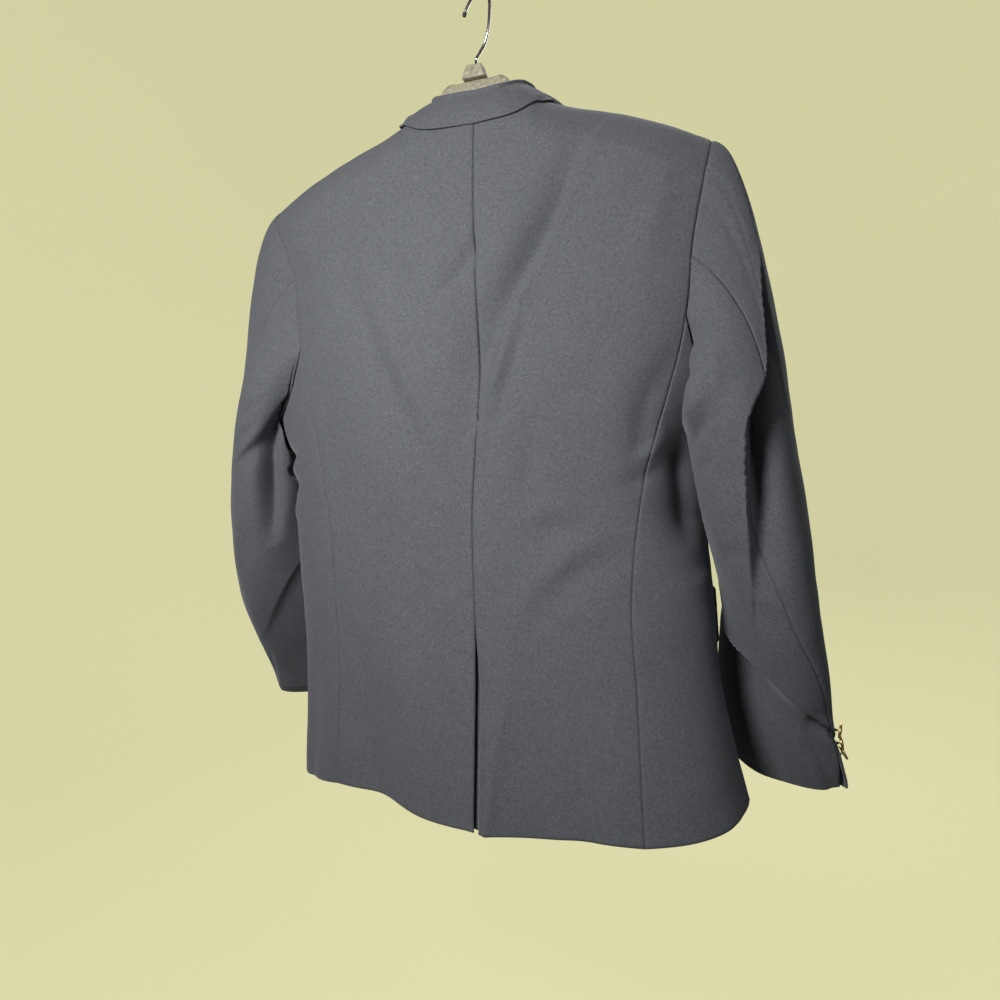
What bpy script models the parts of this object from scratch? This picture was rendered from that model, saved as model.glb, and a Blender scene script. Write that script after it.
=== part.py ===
"""A slate navy single-breasted blazer on a plain coat hanger.

Metres. +Z is up, the front faces -Y and +X is the wearer's left. The origin is the inner top of the
hook, where a rod or a peg holds it. The body of the coat is one smooth skin, worked out from level
sections and parted into the panels that a tailor cuts. Each piece is a cloth wall, 0.3 mm from the
next one along its seam.
"""

import math

import bmesh
import bpy
import numpy as np
from mathutils import Vector

# Cloth.
WALL = 0.0016
SEAM_GAP = 0.0003
SEAM_STEP = 0.85 * SEAM_GAP  # each piece back from its seam: over half the gap, as the walls bend there
LAY_GAP = 0.0005  # between a piece that lies on a panel and the panel
RIGHT, LEFT = -1, 1
SIDE_NAME = {RIGHT: "right", LEFT: "left"}

# Grid of the panels.
LOW_ROWS = 17  # hem to armhole
HIGH_ROWS = 9  # armhole to shoulder
NECK_COLUMNS = 3
SHOULDER_COLUMNS = 7
SIDE_COLUMNS = 6
SLEEVE_CAP_ROWS = 7
SLEEVE_ROWS = 13

# Body of the coat. Heights are below the hook.
HEM = -0.853
BACK_HEM_RISE = {RIGHT: 0.008, LEFT: 0.014}  # from the centre to the side back seam
FRONT_HEM_STEP = {RIGHT: 0.036, LEFT: -0.040}  # from there to the side front seam
FRONT_CORNER_RISE = 0.050
VENT_TOP = -0.648
BREAK = -0.530  # where the lapel starts to turn back
LOW_BUTTON = -0.655
BACK_JUNCTION = -0.367  # side back seam meets the armhole
FRONT_JUNCTION = -0.397
UNDERARM = -0.447
NAPE = -0.147
NAPE_Y = 0.040
BODY_MIDDLE_Y = -0.020
BODY_POWER = 2.6  # squareness of the level sections
FRONT_OVERLAP = 0.020  # each front past the centre front
OVERLAP_LIFT = 0.0032  # left front over the right one
SHOULDER_ROLL = 0.052  # height over which the back and front round to the shoulder
ROLL_POWER = 1.7
VENT_SPREAD = 0.0045  # the right half's vent edge stands away from the left one
UNDERLAP_WIDTH = 0.032
UNDERLAP_GAP = 0.0010

SECTION_COLUMNS = (
    "height", "right", "left", "seam_right", "seam_left", "fore_right", "fore_left", "back", "front",
    "turn",
)
# The reach of the body to each side, where the side back and side front seams (above them the
# armhole edges) run, the depths at the centre, and how far the section is turned.
SECTIONS = (
    (-0.900, -0.290, 0.222, -0.196, 0.138, -0.215, 0.175, 0.082, -0.135, -0.06),
    (-0.853, -0.279, 0.218, -0.194, 0.138, -0.210, 0.175, 0.080, -0.132, -0.06),
    (-0.780, -0.262, 0.212, -0.189, 0.138, -0.203, 0.175, 0.076, -0.128, -0.05),
    (-0.710, -0.249, 0.212, -0.184, 0.139, -0.196, 0.175, 0.071, -0.125, -0.03),
    (-0.640, -0.244, 0.221, -0.178, 0.143, -0.192, 0.174, 0.066, -0.122, -0.02),
    (-0.570, -0.238, 0.227, -0.181, 0.150, -0.190, 0.172, 0.062, -0.122, -0.01),
    (-0.510, -0.238, 0.228, -0.190, 0.160, -0.192, 0.176, 0.062, -0.126, 0.00),
    (-0.450, -0.242, 0.236, -0.206, 0.174, -0.198, 0.186, 0.064, -0.130, 0.00),
    (-0.397, -0.246, 0.238, -0.219, 0.188, -0.206, 0.192, 0.065, -0.130, 0.00),
    (-0.350, -0.256, 0.240, -0.226, 0.197, -0.203, 0.190, 0.064, -0.124, 0.00),
    (-0.300, -0.268, 0.248, -0.229, 0.203, -0.204, 0.193, 0.060, -0.116, 0.00),
    (-0.250, -0.275, 0.262, -0.235, 0.212, -0.214, 0.206, 0.055, -0.103, 0.00),
    (-0.193, -0.285, 0.285, -0.244, 0.246, -0.244, 0.246, 0.050, -0.080, 0.00),
    (-0.110, -0.295, 0.295, -0.250, 0.252, -0.250, 0.252, 0.042, -0.060, 0.00),
)
# The centre back seam's line.
CENTRE = (
    (-0.900, -0.033), (-0.640, -0.027), (-0.560, -0.022), (-0.420, -0.028), (-0.260, -0.021),
    (-0.110, -0.017),
)
# The shoulder line, from the neck out.
SHOULDER = (
    (0.000, -0.104), (0.075, -0.127), (0.100, -0.138), (0.140, -0.151), (0.176, -0.164),
    (0.206, -0.177), (0.246, -0.197),
)
NECK_SIDE_X = {RIGHT: -0.082, LEFT: 0.070}
SHOULDER_TIP_X = {RIGHT: -0.244, LEFT: 0.246}

# Sleeves, below the armhole: the middle of each section, its half length and half thickness, how far
# it is turned from fore-and-aft, and where the elbow and forearm seams lie round it, in degrees.
SLEEVE_COLUMNS = ("height", "x", "y", "long", "short", "turn", "elbow", "forearm")
SLEEVES = {
    RIGHT: (
        (-0.470, -0.268, -0.010, 0.076, 0.047, -10, 48, 255),
        (-0.540, -0.278, -0.0235, 0.0765, 0.049, 0, 88, 255),
        (-0.617, -0.289, -0.038, 0.073, 0.043, 16, 90, 250),
        (-0.675, -0.292, -0.0545, 0.0745, 0.040, 30, 84, 250),
        (-0.740, -0.2955, -0.071, 0.070, 0.031, 45, 82, 255),
        (-0.815, -0.302, -0.090, 0.063, 0.023, 60, 84, 262),
    ),
    LEFT: (
        (-0.470, 0.270, -0.036, 0.074, 0.045, 0, 44, 255),
        (-0.540, 0.278, -0.050, 0.074, 0.047, 12, 52, 255),
        (-0.617, 0.279, -0.070, 0.073, 0.040, 28, 62, 250),
        (-0.675, 0.278, -0.096, 0.070, 0.034, 40, 66, 250),
        (-0.730, 0.279, -0.122, 0.066, 0.028, 50, 66, 255),
        (-0.790, 0.285, -0.150, 0.063, 0.023, 57, 64, 262),
    ),
}
CUFF_RISE = 0.014  # the forearm side of the cuff's hem rides up
ELBOW_SEAM_START = {RIGHT: -0.314, LEFT: -0.290}  # on the armhole's back edge
FOREARM_SEAM_START = -0.360  # on its front edge
SLEEVE_CLEARANCE = 0.0065

LAPEL_ROWS, LAPEL_COLUMNS = 12, 6
LAPEL_WIDTH = 0.086
GORGE = -0.178  # the lapel's top on the roll line
LAPEL_PEAK = -0.242
LAPEL_FOOT = {RIGHT: -0.420, LEFT: -0.526}  # the right one starts where the left front uncovers it
ROLL_HEIGHT = 0.0055
COLLAR_STATIONS = 11
COLLAR_WALL = 0.0022
COLLAR_CLEARANCE = 0.0026
ROLL_RADIUS = 0.0030
FLAP_TOP, FLAP_FOOT = -0.618, -0.678
FLAP_REAR, FLAP_FRONT = 98, 152  # degrees round the body from the centre back

# Collar, each half from the centre back: where it is sewn on, its roll and its free edge.
COLLAR_COLUMNS = ("seam_x", "seam_y", "seam_z", "roll_x", "roll_y", "roll_z", "edge_x", "edge_z")
COLLAR = (
    (0.000, 0.0400, -0.1450, 0.000, 0.0345, -0.123, 0.000, -0.157),
    (0.038, 0.0330, -0.1390, 0.030, 0.0310, -0.119, 0.046, -0.155),
    (0.074, 0.0020, -0.1255, 0.052, 0.000, -0.105, 0.089, -0.133),
    (0.066, -0.0280, -0.1400, 0.056, -0.026, -0.124, 0.106, -0.166),
    (0.056, -0.0520, -0.1660, 0.051, -0.054, -0.156, 0.112, -0.200),
)

# Hanger.
HOOK_WIRE = 0.0016
HOOK_RADIUS = 0.0264
HOOK_TURN = math.radians(-33.0)
HOOK_ARC_START, HOOK_ARC_END = 180.0, 42.0
# The stem in the hook's own plane, across and up, from the block to the arc.
HOOK_STEM = (
    (-0.0015, -0.0752), (-0.0020, -0.0683), (-0.0087, -0.0645), (-0.0184, -0.0580), (-0.0245, -0.0440),
    (-0.0264, -0.0248),
)
BAR_REACH = 0.218
BAR_HALF_WIDTH = 0.0045
# The bar from its middle out: how far, its top and its height.
BAR = (
    (0.000, -0.0905, 0.026), (0.018, -0.0912, 0.026), (0.034, -0.0930, 0.026), (0.039, -0.0990, 0.025),
    (0.044, -0.1200, 0.020),
    (0.056, -0.1310, 0.018), (0.070, -0.1365, 0.018), (0.100, -0.1480, 0.020), (0.150, -0.1630, 0.018),
    (0.190, -0.1775, 0.017), (0.230, -0.2000, 0.014),
)
FRONT_BUTTON_RADIUS, CUFF_BUTTON_RADIUS = 0.0105, 0.0070
CUFF_BUTTON_FIRST, CUFF_BUTTON_STEP = 0.036, 0.0165
CUFF_BUTTON_RISE = (0.20, -0.36, -0.30)  # how far each one's face looks up, or hangs down
CUFF_BUTTON_TURN = -0.18  # and forward
BLOCK_TOP, BLOCK_FOOT = -0.0755, -0.0895
BLOCK_TOP_HALF, BLOCK_FOOT_HALF, BLOCK_DEPTH = 0.0085, 0.0135, 0.013

COLLECTION = bpy.data.collections.new("blazer_on_hanger")


def smooth(knots, values, at):
    """A smooth curve through the values at the knots, read at each place."""
    knots = np.asarray(knots, float)
    values = np.asarray(values, float)
    at = np.clip(np.asarray(at, float), knots[0], knots[-1])
    steps = np.diff(knots)
    slopes = np.diff(values) / steps
    tangents = np.empty_like(values)
    tangents[0], tangents[-1] = slopes[0], slopes[-1]
    tangents[1:-1] = (slopes[:-1] * steps[1:] + slopes[1:] * steps[:-1]) / (steps[1:] + steps[:-1])
    left = np.clip(np.searchsorted(knots, at, side="right") - 1, 0, len(steps) - 1)
    t = (at - knots[left]) / steps[left]
    return (
        (2 * t**3 - 3 * t**2 + 1) * values[left]
        + (t**3 - 2 * t**2 + t) * steps[left] * tangents[left]
        + (3 * t**2 - 2 * t**3) * values[left + 1]
        + (t**3 - t**2) * steps[left] * tangents[left + 1]
    )


def ease(t):
    t = np.clip(t, 0.0, 1.0)
    return t * t * (3 - 2 * t)


def signed_power(value, power):
    return np.sign(value) * np.abs(value) ** power


def section(name, z):
    column = SECTION_COLUMNS.index(name)
    return smooth([row[0] for row in SECTIONS], [row[column] for row in SECTIONS], z)


def centre(z):
    return smooth([row[0] for row in CENTRE], [row[1] for row in CENTRE], z)


def reach(side, z):
    return np.abs(section(SIDE_NAME[side], z) - centre(z))


def seam_angle(side, z, front):
    """Where a side seam lies on the section, from 0 at the centre back to pi at the centre front."""
    name = ("fore_" if front else "seam_") + SIDE_NAME[side]
    share = np.abs(section(name, z) - centre(z)) / reach(side, z)
    angle = np.arcsin(np.clip(share, 0, 1) ** (BODY_POWER / 2))
    return np.pi - angle if front else angle


# Creases: a soft ridge (depth above 0) or trough from one point to another, with its depth at the start,
# the middle and the end. The places are across and up: x and z on the back, y and z on the sides.
CREASE_COLUMNS = ("face", "x1", "z1", "x2", "z2", "width", "start", "middle", "end")
CREASES = (
    ("back", -0.110, -0.200, -0.040, -0.420, 0.022, 0.000, -0.008, 0.000),
    ("back", -0.155, -0.200, -0.085, -0.430, 0.032, 0.000, 0.008, 0.000),
    ("back", -0.022, -0.200, -0.023, -0.560, 0.024, 0.000, -0.007, 0.000),
    ("back", 0.030, -0.280, 0.065, -0.560, 0.032, 0.000, 0.005, 0.000),
    ("back", -0.050, -0.640, -0.052, -0.860, 0.020, 0.000, 0.004, 0.012),
    ("back", 0.090, -0.620, 0.095, -0.870, 0.036, 0.000, -0.010, -0.026),
    ("back", 0.185, -0.640, 0.190, -0.870, 0.026, 0.000, 0.004, 0.012),
    ("back", -0.170, -0.420, -0.185, -0.560, 0.018, 0.000, -0.007, 0.000),
    ("side_left", 0.010, -0.400, -0.010, -0.480, 0.018, 0.002, 0.010, 0.000),
)


def bend(face, across, z):
    """How far the skin stands out of its smooth section."""
    total = np.zeros_like(z)
    for kind, x1, z1, x2, z2, width, start, middle, end in CREASES:
        if kind != face:
            continue
        along, away = along_crease(across, z, x1, z1, x2, z2)
        total += smooth((0, 0.5, 1), (start, middle, end), along) * np.exp(-((away / width) ** 2))
    return total


def shoulder_height(x):
    return smooth([row[0] for row in SHOULDER], [row[1] for row in SHOULDER], np.abs(x))


def skin(side, angle, z, x=None):
    """Points of the body's skin at an angle round the section, or at x where that is given, and a height."""
    middle = centre(z)
    half = reach(side, z)
    if x is None:
        share = signed_power(np.sin(angle), 2 / BODY_POWER)
        x = middle + side * half * share
    else:
        share = np.abs(x - middle) / half
    front = angle > np.pi / 2
    bow = np.clip(1 - np.abs(share) ** BODY_POWER, 0, 1) ** (1 / BODY_POWER)
    depth = np.where(front, section("front", z), section("back", z)) - BODY_MIDDLE_Y
    y = BODY_MIDDLE_Y + depth * bow + section("turn", z) * (x - middle)
    out_x = side * np.abs(share) ** (BODY_POWER - 1) / half * np.sign(share + 1e-9)
    out_y = bow ** (BODY_POWER - 1) / depth
    length = np.hypot(out_x, out_y)
    out_x, out_y = out_x / length, out_y / length
    face_weight = ease(3 * bow)
    lift = face_weight * np.where(front, bend("front", x, z), bend("back", x, z))
    lift = lift + ease(3 * np.abs(share) - 2) * bend("side_" + SIDE_NAME[side], y, z)
    return np.stack([x + lift * out_x, y + lift * out_y, z + 0 * x], axis=-1)


def top_line(side, front, x):
    """The body's upper edge over each x: its height, its place fore and aft, and how far down it rounds."""
    z = shoulder_height(x)
    y = 0 * x
    roll = SHOULDER_ROLL + 0 * x
    if not front:
        nape_x = centre(NAPE)
        to_neck = np.clip((x - nape_x) / (NECK_SIDE_X[side] - nape_x), 0, 1)
        in_neck = np.abs(x) < abs(NECK_SIDE_X[side])
        z = np.where(in_neck, NAPE + (shoulder_height(NECK_SIDE_X[side]) - NAPE) * to_neck**2, z)
        y = np.where(in_neck, NAPE_Y * np.sqrt(1 - to_neck**2.2), y)
        roll = 0.012 + (SHOULDER_ROLL - 0.012) * to_neck**2
    return z, y, roll


def surface(side, front, x, z):
    """The finished skin over a place across and a height, brought over to the shoulder line at its top."""
    angle = np.where(front, np.pi, 0.0) + 0 * x
    points = skin(side, angle, z, x)
    top_z, top_y, roll = top_line(side, front, x)
    t = np.clip(1 - (top_z - z) / roll, 0, 1)
    points[..., 1] = top_y + (points[..., 1] - top_y) * (1 - t**ROLL_POWER) ** (1 / ROLL_POWER)
    return points


def grid(rows, columns):
    return np.meshgrid(np.linspace(0, 1, rows + 1), np.linspace(0, 1, columns + 1), indexing="ij")


def high_shares():
    """Row places from the armhole junction to the shoulder, closer together near the shoulder."""
    return 1 - (1 - np.linspace(0, 1, HIGH_ROWS + 1)) ** 1.5


def open_vent(side, x, z, column):
    """Moves the right half's vent edge away from the left one's."""
    if side == LEFT:
        return x
    return x - VENT_SPREAD * ease((VENT_TOP - z) / 0.08) * np.clip(1 - 5 * column, 0, 1)


def back_panel(side):
    columns = NECK_COLUMNS + SHOULDER_COLUMNS
    row, column = grid(LOW_ROWS, columns)
    hem = back_hem(side, column)
    z = hem + (BACK_JUNCTION - hem) * row
    share = signed_power(np.sin(column * seam_angle(side, z, False)), 2 / BODY_POWER)
    x = open_vent(side, centre(z) + side * reach(side, z) * share, z, column)
    low = surface(side, False, x, z)

    share = high_shares()[1:, None]
    column = np.linspace(0, 1, columns + 1)[None, :]
    neck = NECK_COLUMNS / columns
    x_nape = centre(NAPE)
    x_top = np.where(
        column < neck,
        x_nape + (NECK_SIDE_X[side] - x_nape) * column / neck,
        NECK_SIDE_X[side] + (SHOULDER_TIP_X[side] - NECK_SIDE_X[side]) * (column - neck) / (1 - neck),
    )
    z_top = top_line(side, False, x_top)[0]
    z = BACK_JUNCTION + (z_top - BACK_JUNCTION) * share
    edge_z = BACK_JUNCTION + (z_top[:, -1:] - BACK_JUNCTION) * share
    edge_x = section("seam_" + SIDE_NAME[side], edge_z)
    angle = seam_angle(side, edge_z, False)
    even = signed_power(np.sin(column * angle) / np.sin(angle), 2 / BODY_POWER)
    x_low = centre(z) + (edge_x - centre(z)) * even
    x = x_low + (x_top - x_low) * share**3
    return np.concatenate([low, surface(side, False, x, z)])


def vent_underlap():
    """The right half's turned strip, which lies under the left half below the vent's top."""
    row, column = grid(8, 3)
    z = HEM + 0.006 + (VENT_TOP - 0.004 - HEM) * row
    x = centre(z) - VENT_SPREAD - 0.001 + UNDERLAP_WIDTH * column
    points = surface(RIGHT, False, x, z)
    points[x > centre(z)] = surface(LEFT, False, x, z)[x > centre(z)]
    return points


def front_edge(side, z):
    """x of the front's free edge: cut away at the foot, straight to the break, then the roll line."""
    middle = centre(z)
    straight = middle - side * FRONT_OVERLAP
    down = np.clip((LOW_BUTTON - z) / (LOW_BUTTON - HEM), 0, 1)
    straight = straight + side * 0.070 * down**1.8
    up = np.clip((z - BREAK) / (shoulder_height(NECK_SIDE_X[side]) - BREAK), 0, 1)
    rolled = straight + (NECK_SIDE_X[side] - straight) * (0.85 * up + 0.15 * up**3)
    return np.where(z > BREAK, rolled, straight)


def back_hem(side, column):
    """The back's hem, which rides up a little on the left."""
    return HEM + BACK_HEM_RISE[side] * ease(1.6 * column)


def front_hem(side, column):
    """The front's hem dips a little and rounds up at the free corner."""
    start = back_hem(side, 1.0) + FRONT_HEM_STEP[side]
    dip = (HEM - 0.006 - start) * ease(1.3 * column)
    return start + dip + FRONT_CORNER_RISE * np.clip(2 * column - 1, 0, 1) ** 2.4


def overlapping(z):
    """1 where the left front lies over the right one, 0 above the crossing of the roll lines."""
    return ease((BREAK + 0.16 - z) / 0.05)


def front_panel(side):
    row, column = grid(LOW_ROWS, SHOULDER_COLUMNS)
    hem = front_hem(side, column)
    z = hem + (FRONT_JUNCTION - hem) * row
    share = signed_power(np.sin(seam_angle(side, z, True)), 2 / BODY_POWER)
    x_side = centre(z) + side * reach(side, z) * share
    x = x_side + (front_edge(side, z) - x_side) * column
    low = surface(side, True, x, z)

    share = high_shares()[1:, None]
    column = np.linspace(0, 1, SHOULDER_COLUMNS + 1)[None, :]
    x_top = SHOULDER_TIP_X[side] + (NECK_SIDE_X[side] - SHOULDER_TIP_X[side]) * column
    z_top = shoulder_height(x_top)
    z = FRONT_JUNCTION + (z_top - FRONT_JUNCTION) * share
    edge_z = FRONT_JUNCTION + (z_top[:, :1] - FRONT_JUNCTION) * share
    x_side = section("fore_" + SIDE_NAME[side], edge_z)
    x_low = x_side + (front_edge(side, z) - x_side) * column
    x = x_low + (x_top - x_low) * share**3
    panel = np.concatenate([low, surface(side, True, x, z)])
    if side == LEFT:
        near_edge = ease(1 - np.abs(panel[..., 0] - front_edge(side, panel[..., 2])) / 0.09)
        panel[..., 1] -= OVERLAP_LIFT * near_edge * overlapping(panel[..., 2])
    return panel


def side_panel(side):
    row, column = grid(LOW_ROWS, SIDE_COLUMNS)
    hem = back_hem(side, 1.0) + (front_hem(side, 0.0) - back_hem(side, 1.0)) * column
    top = BACK_JUNCTION + (FRONT_JUNCTION - BACK_JUNCTION) * column
    middle_top = 0.5 * (BACK_JUNCTION + FRONT_JUNCTION)
    top = top + (UNDERARM - middle_top) * np.sin(np.pi * column) ** 0.8
    z = hem + (top - hem) * row
    start, end = seam_angle(side, z, False), seam_angle(side, z, True)
    return skin(side, start + (end - start) * column, z)


def arc_shares(points):
    steps = np.linalg.norm(np.diff(points, axis=0), axis=1)
    return np.concatenate([[0], np.cumsum(steps)]) / steps.sum()


def armhole(panels, side):
    """The armhole's points: from the shoulder tip down the back edge, under the arm and up the front."""
    name = SIDE_NAME[side]
    back = panels["back_" + name][LOW_ROWS:, -1]
    under = panels["side_" + name][-1]
    front = panels["front_" + name][LOW_ROWS:, 0]
    return np.concatenate([back[::-1], under[1:-1], front])


def body_side(side, y, z):
    """How far out the body reaches at a place fore and aft and a height."""
    depth = np.where(y > BODY_MIDDLE_Y, section("back", z), section("front", z)) - BODY_MIDDLE_Y
    bow = np.clip(np.abs((y - BODY_MIDDLE_Y) / depth), 0, 1)
    smooth_side = side * centre(z) + reach(side, z) * (1 - bow**BODY_POWER) ** (1 / BODY_POWER)
    return smooth_side + 1.6 * np.maximum(bend("side_" + SIDE_NAME[side], y, z), 0)


# Creases of the sleeves, from one place to another: degrees round the sleeve, and height.
SLEEVE_CREASE_COLUMNS = ("side", "angle_1", "z1", "angle_2", "z2", "width", "start", "middle", "end")
SLEEVE_CREASES = (
    (RIGHT, 10, -0.365, 86, -0.575, 0.016, -0.001, -0.012, 0.000),
    (RIGHT, 186, -0.655, 118, -0.735, 0.018, 0.000, -0.008, 0.000),
    (RIGHT, 55, -0.735, 42, -0.830, 0.014, 0.000, -0.004, -0.003),
    (RIGHT, 128, -0.480, 100, -0.435, 0.010, 0.000, -0.003, 0.000),
    (RIGHT, 300, -0.560, 250, -0.640, 0.016, 0.000, -0.009, 0.000),
    (LEFT, 119, -0.460, 142, -0.575, 0.011, 0.000, -0.011, 0.000),
    (LEFT, 140, -0.440, 70, -0.498, 0.012, 0.000, -0.009, 0.000),
    (LEFT, 150, -0.470, 150, -0.590, 0.016, 0.000, 0.005, 0.000),
    (LEFT, 170, -0.622, 108, -0.708, 0.014, 0.000, -0.005, 0.000),
    (LEFT, 300, -0.560, 250, -0.640, 0.016, 0.000, -0.009, 0.000),
)


def along_crease(across, z, x1, z1, x2, z2):
    """How far along a crease the nearest point lies, from 0 to 1, and how far away it is."""
    dx, dz = x2 - x1, z2 - z1
    along = np.clip(((across - x1) * dx + (z - z1) * dz) / (dx * dx + dz * dz), 0, 1)
    return along, np.hypot(across - x1 - along * dx, z - z1 - along * dz)


def sleeve_bend(side, angle, z):
    """How far the sleeve stands out of its smooth section."""
    total = np.zeros_like(z)
    girth = 0.060  # metres of cloth to a radian
    for which, angle_1, z1, angle_2, z2, width, start, middle, end in SLEEVE_CREASES:
        if which != side:
            continue
        x1, x2 = girth * math.radians(angle_1), girth * math.radians(angle_2)
        along, away = along_crease(girth * angle, z, x1, z1, x2, z2)
        total += smooth((0, 0.5, 1), (start, middle, end), along) * np.exp(-((away / width) ** 2))
    return total


def sleeve_column(side, name, z):
    rows = SLEEVES[side][::-1]
    column = SLEEVE_COLUMNS.index(name)
    return smooth([row[0] for row in rows], [row[column] for row in rows], z)


def sleeve_rings(panels, side):
    """Rings of the sleeve from the armhole to the cuff, and the columns of its two seams."""
    loop = armhole(panels, side)
    count = len(loop)
    elbow = int(np.argmin(np.abs(loop[: HIGH_ROWS + 1, 2] - ELBOW_SEAM_START[side])))
    front_start = count - HIGH_ROWS - 1
    forearm = front_start + int(np.argmin(np.abs(loop[front_start:, 2] - FOREARM_SEAM_START)))
    closed = np.concatenate([loop, loop[:1]])
    share = arc_shares(closed)
    bottom = share[HIGH_ROWS + SIDE_COLUMNS // 2]
    natural = np.where(share < bottom, 180 * share / bottom, 180 + 180 * (share - bottom) / (1 - bottom))

    top, cuff = SLEEVES[side][0][0], SLEEVES[side][-1][0]
    heights = top + (cuff - top) * np.linspace(0, 1, SLEEVE_ROWS + 1)
    rings = []
    for z in heights:
        settled = ease((top - z) / 0.12)
        seam_1, seam_2 = sleeve_column(side, "elbow", z), sleeve_column(side, "forearm", z)
        knots = [0, share[elbow], share[forearm], 1]
        spread = np.interp(share, knots, [0, seam_1, seam_2, 360])
        held = np.interp(natural, [0, natural[elbow], natural[forearm], 360], [0, seam_1, seam_2, 360])
        angle = np.radians(held + (spread - held) * settled)
        turn = math.radians(sleeve_column(side, "turn", z))
        long_way = sleeve_column(side, "long", z) * signed_power(np.sin(angle), 0.9)
        short_way = sleeve_column(side, "short", z) * signed_power(np.cos(angle), 0.9)
        off_x = side * (long_way * math.sin(turn) + short_way * math.cos(turn))
        off_y = long_way * math.cos(turn) - short_way * math.sin(turn)
        slope_x = (sleeve_column(side, "x", z - 0.02) - sleeve_column(side, "x", z + 0.02)) / 0.04
        slope_y = (sleeve_column(side, "y", z - 0.02) - sleeve_column(side, "y", z + 0.02)) / 0.04
        tilt = ease((top - z) / 0.15)
        rise = CUFF_RISE * ease((top - z - 0.10) / (top - cuff - 0.10)) * ease(-np.sin(angle))
        swell = 1 + sleeve_bend(side, angle, z + 0 * angle) / np.hypot(off_x, off_y)
        off_x, off_y = off_x * swell, off_y * swell
        x = sleeve_column(side, "x", z) + off_x
        y = sleeve_column(side, "y", z) + off_y
        level = z + tilt * (slope_x * off_x + slope_y * off_y) + rise
        clear = body_side(side, y, level) + SLEEVE_CLEARANCE
        x = side * np.maximum(side * x, clear)
        rings.append(np.stack([x, y, level], axis=-1))

    low = np.array(rings)
    cap = []
    span = np.linalg.norm(low[0] - closed, axis=1)[:, None]
    over = 0.5 + 0.5 * np.cos(np.radians(natural))[:, None]  # 1 at the shoulder tip, 0 under the arm
    outward = np.concatenate([side + 0 * over, 0 * over, -0.35 * over - 1.2 * (1 - over)], axis=1)
    outward /= np.linalg.norm(outward, axis=1)[:, None]
    down = low[0] - low[1]
    down /= np.linalg.norm(down, axis=1)[:, None]
    first = closed + outward * span * 0.13
    second = low[0] + down * span * 0.55
    for t in (np.linspace(0, 1, SLEEVE_CAP_ROWS + 1) ** 1.25)[:-1]:
        ring = (1 - t) ** 3 * closed + 3 * (1 - t) ** 2 * t * first
        ring += 3 * (1 - t) * t**2 * second + t**3 * low[0]
        beside = ease((UNDERARM + 0.085 - ring[:, 2]) / 0.03) * ease(5 * t)
        clear = body_side(side, ring[:, 1], ring[:, 2]) + SLEEVE_CLEARANCE
        ring[:, 0] += side * beside * np.maximum(clear - side * ring[:, 0], 0)
        cap.append(ring)
    return np.concatenate([np.array(cap), low]), elbow, forearm


def lapel(side):
    """The lapel: it turns back at the front's edge, from the break up to the gorge, and lies on the front."""
    row, column = grid(LAPEL_ROWS, LAPEL_COLUMNS)
    run = column**1.3
    gorge_z = GORGE + (LAPEL_PEAK - GORGE) * run
    z = LAPEL_FOOT[side] + (gorge_z - LAPEL_FOOT[side]) * row
    start = 0.006 if side == LEFT else 0.020
    width = start + (LAPEL_WIDTH - start) * np.sin(np.pi / 2 * row) ** 0.9
    across = width * run
    x = front_edge(side, z) + side * across
    points = surface(side, True, x, z)
    return lay_over(side, points, across)


def lay_over(side, points, across):
    """Moves points of the front out: clear of its edge at the roll, then close over the cloth."""
    settle = np.exp(-across / 0.020)
    lift = WALL + LAY_GAP + (ROLL_HEIGHT - WALL - LAY_GAP) * settle
    before = np.exp(-across / 0.004)
    points[..., 0] -= side * 0.0012 * before
    points[..., 1] -= lift
    if side == LEFT:
        points[..., 1] -= OVERLAP_LIFT * overlapping(points[..., 2])
    return points


def off_the_body(side, points, gap):
    """Moves points that would enter the back or the front out of it, and up over the shoulder line."""
    x, y, z = (points[..., axis] for axis in range(3))
    back = surface(side, False, x, z - gap)[..., 1] + gap
    front = surface(side, True, x, z - gap)[..., 1] - gap
    shoulder = top_line(side, True, x)[0]
    neckline = top_line(side, False, x)[0]
    beside_neck = side * (x - NECK_SIDE_X[side]) > -0.006
    on_front = side * (x - front_edge(side, z)) > -0.006
    low = z < shoulder + gap
    on_ridge = beside_neck & (np.abs(y) < 0.007) & low
    points[..., 2] = np.where(on_ridge, shoulder + gap, z)
    behind = (y >= 0) & ~on_ridge & (z < neckline + gap) & (beside_neck | (y > 0.6 * NAPE_Y))
    points[..., 1] = np.where(behind, np.maximum(y, back), points[..., 1])
    ahead = (y < 0) & ~on_ridge & low & on_front
    points[..., 1] = np.where(ahead, np.minimum(y, front), points[..., 1])
    return points


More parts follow.
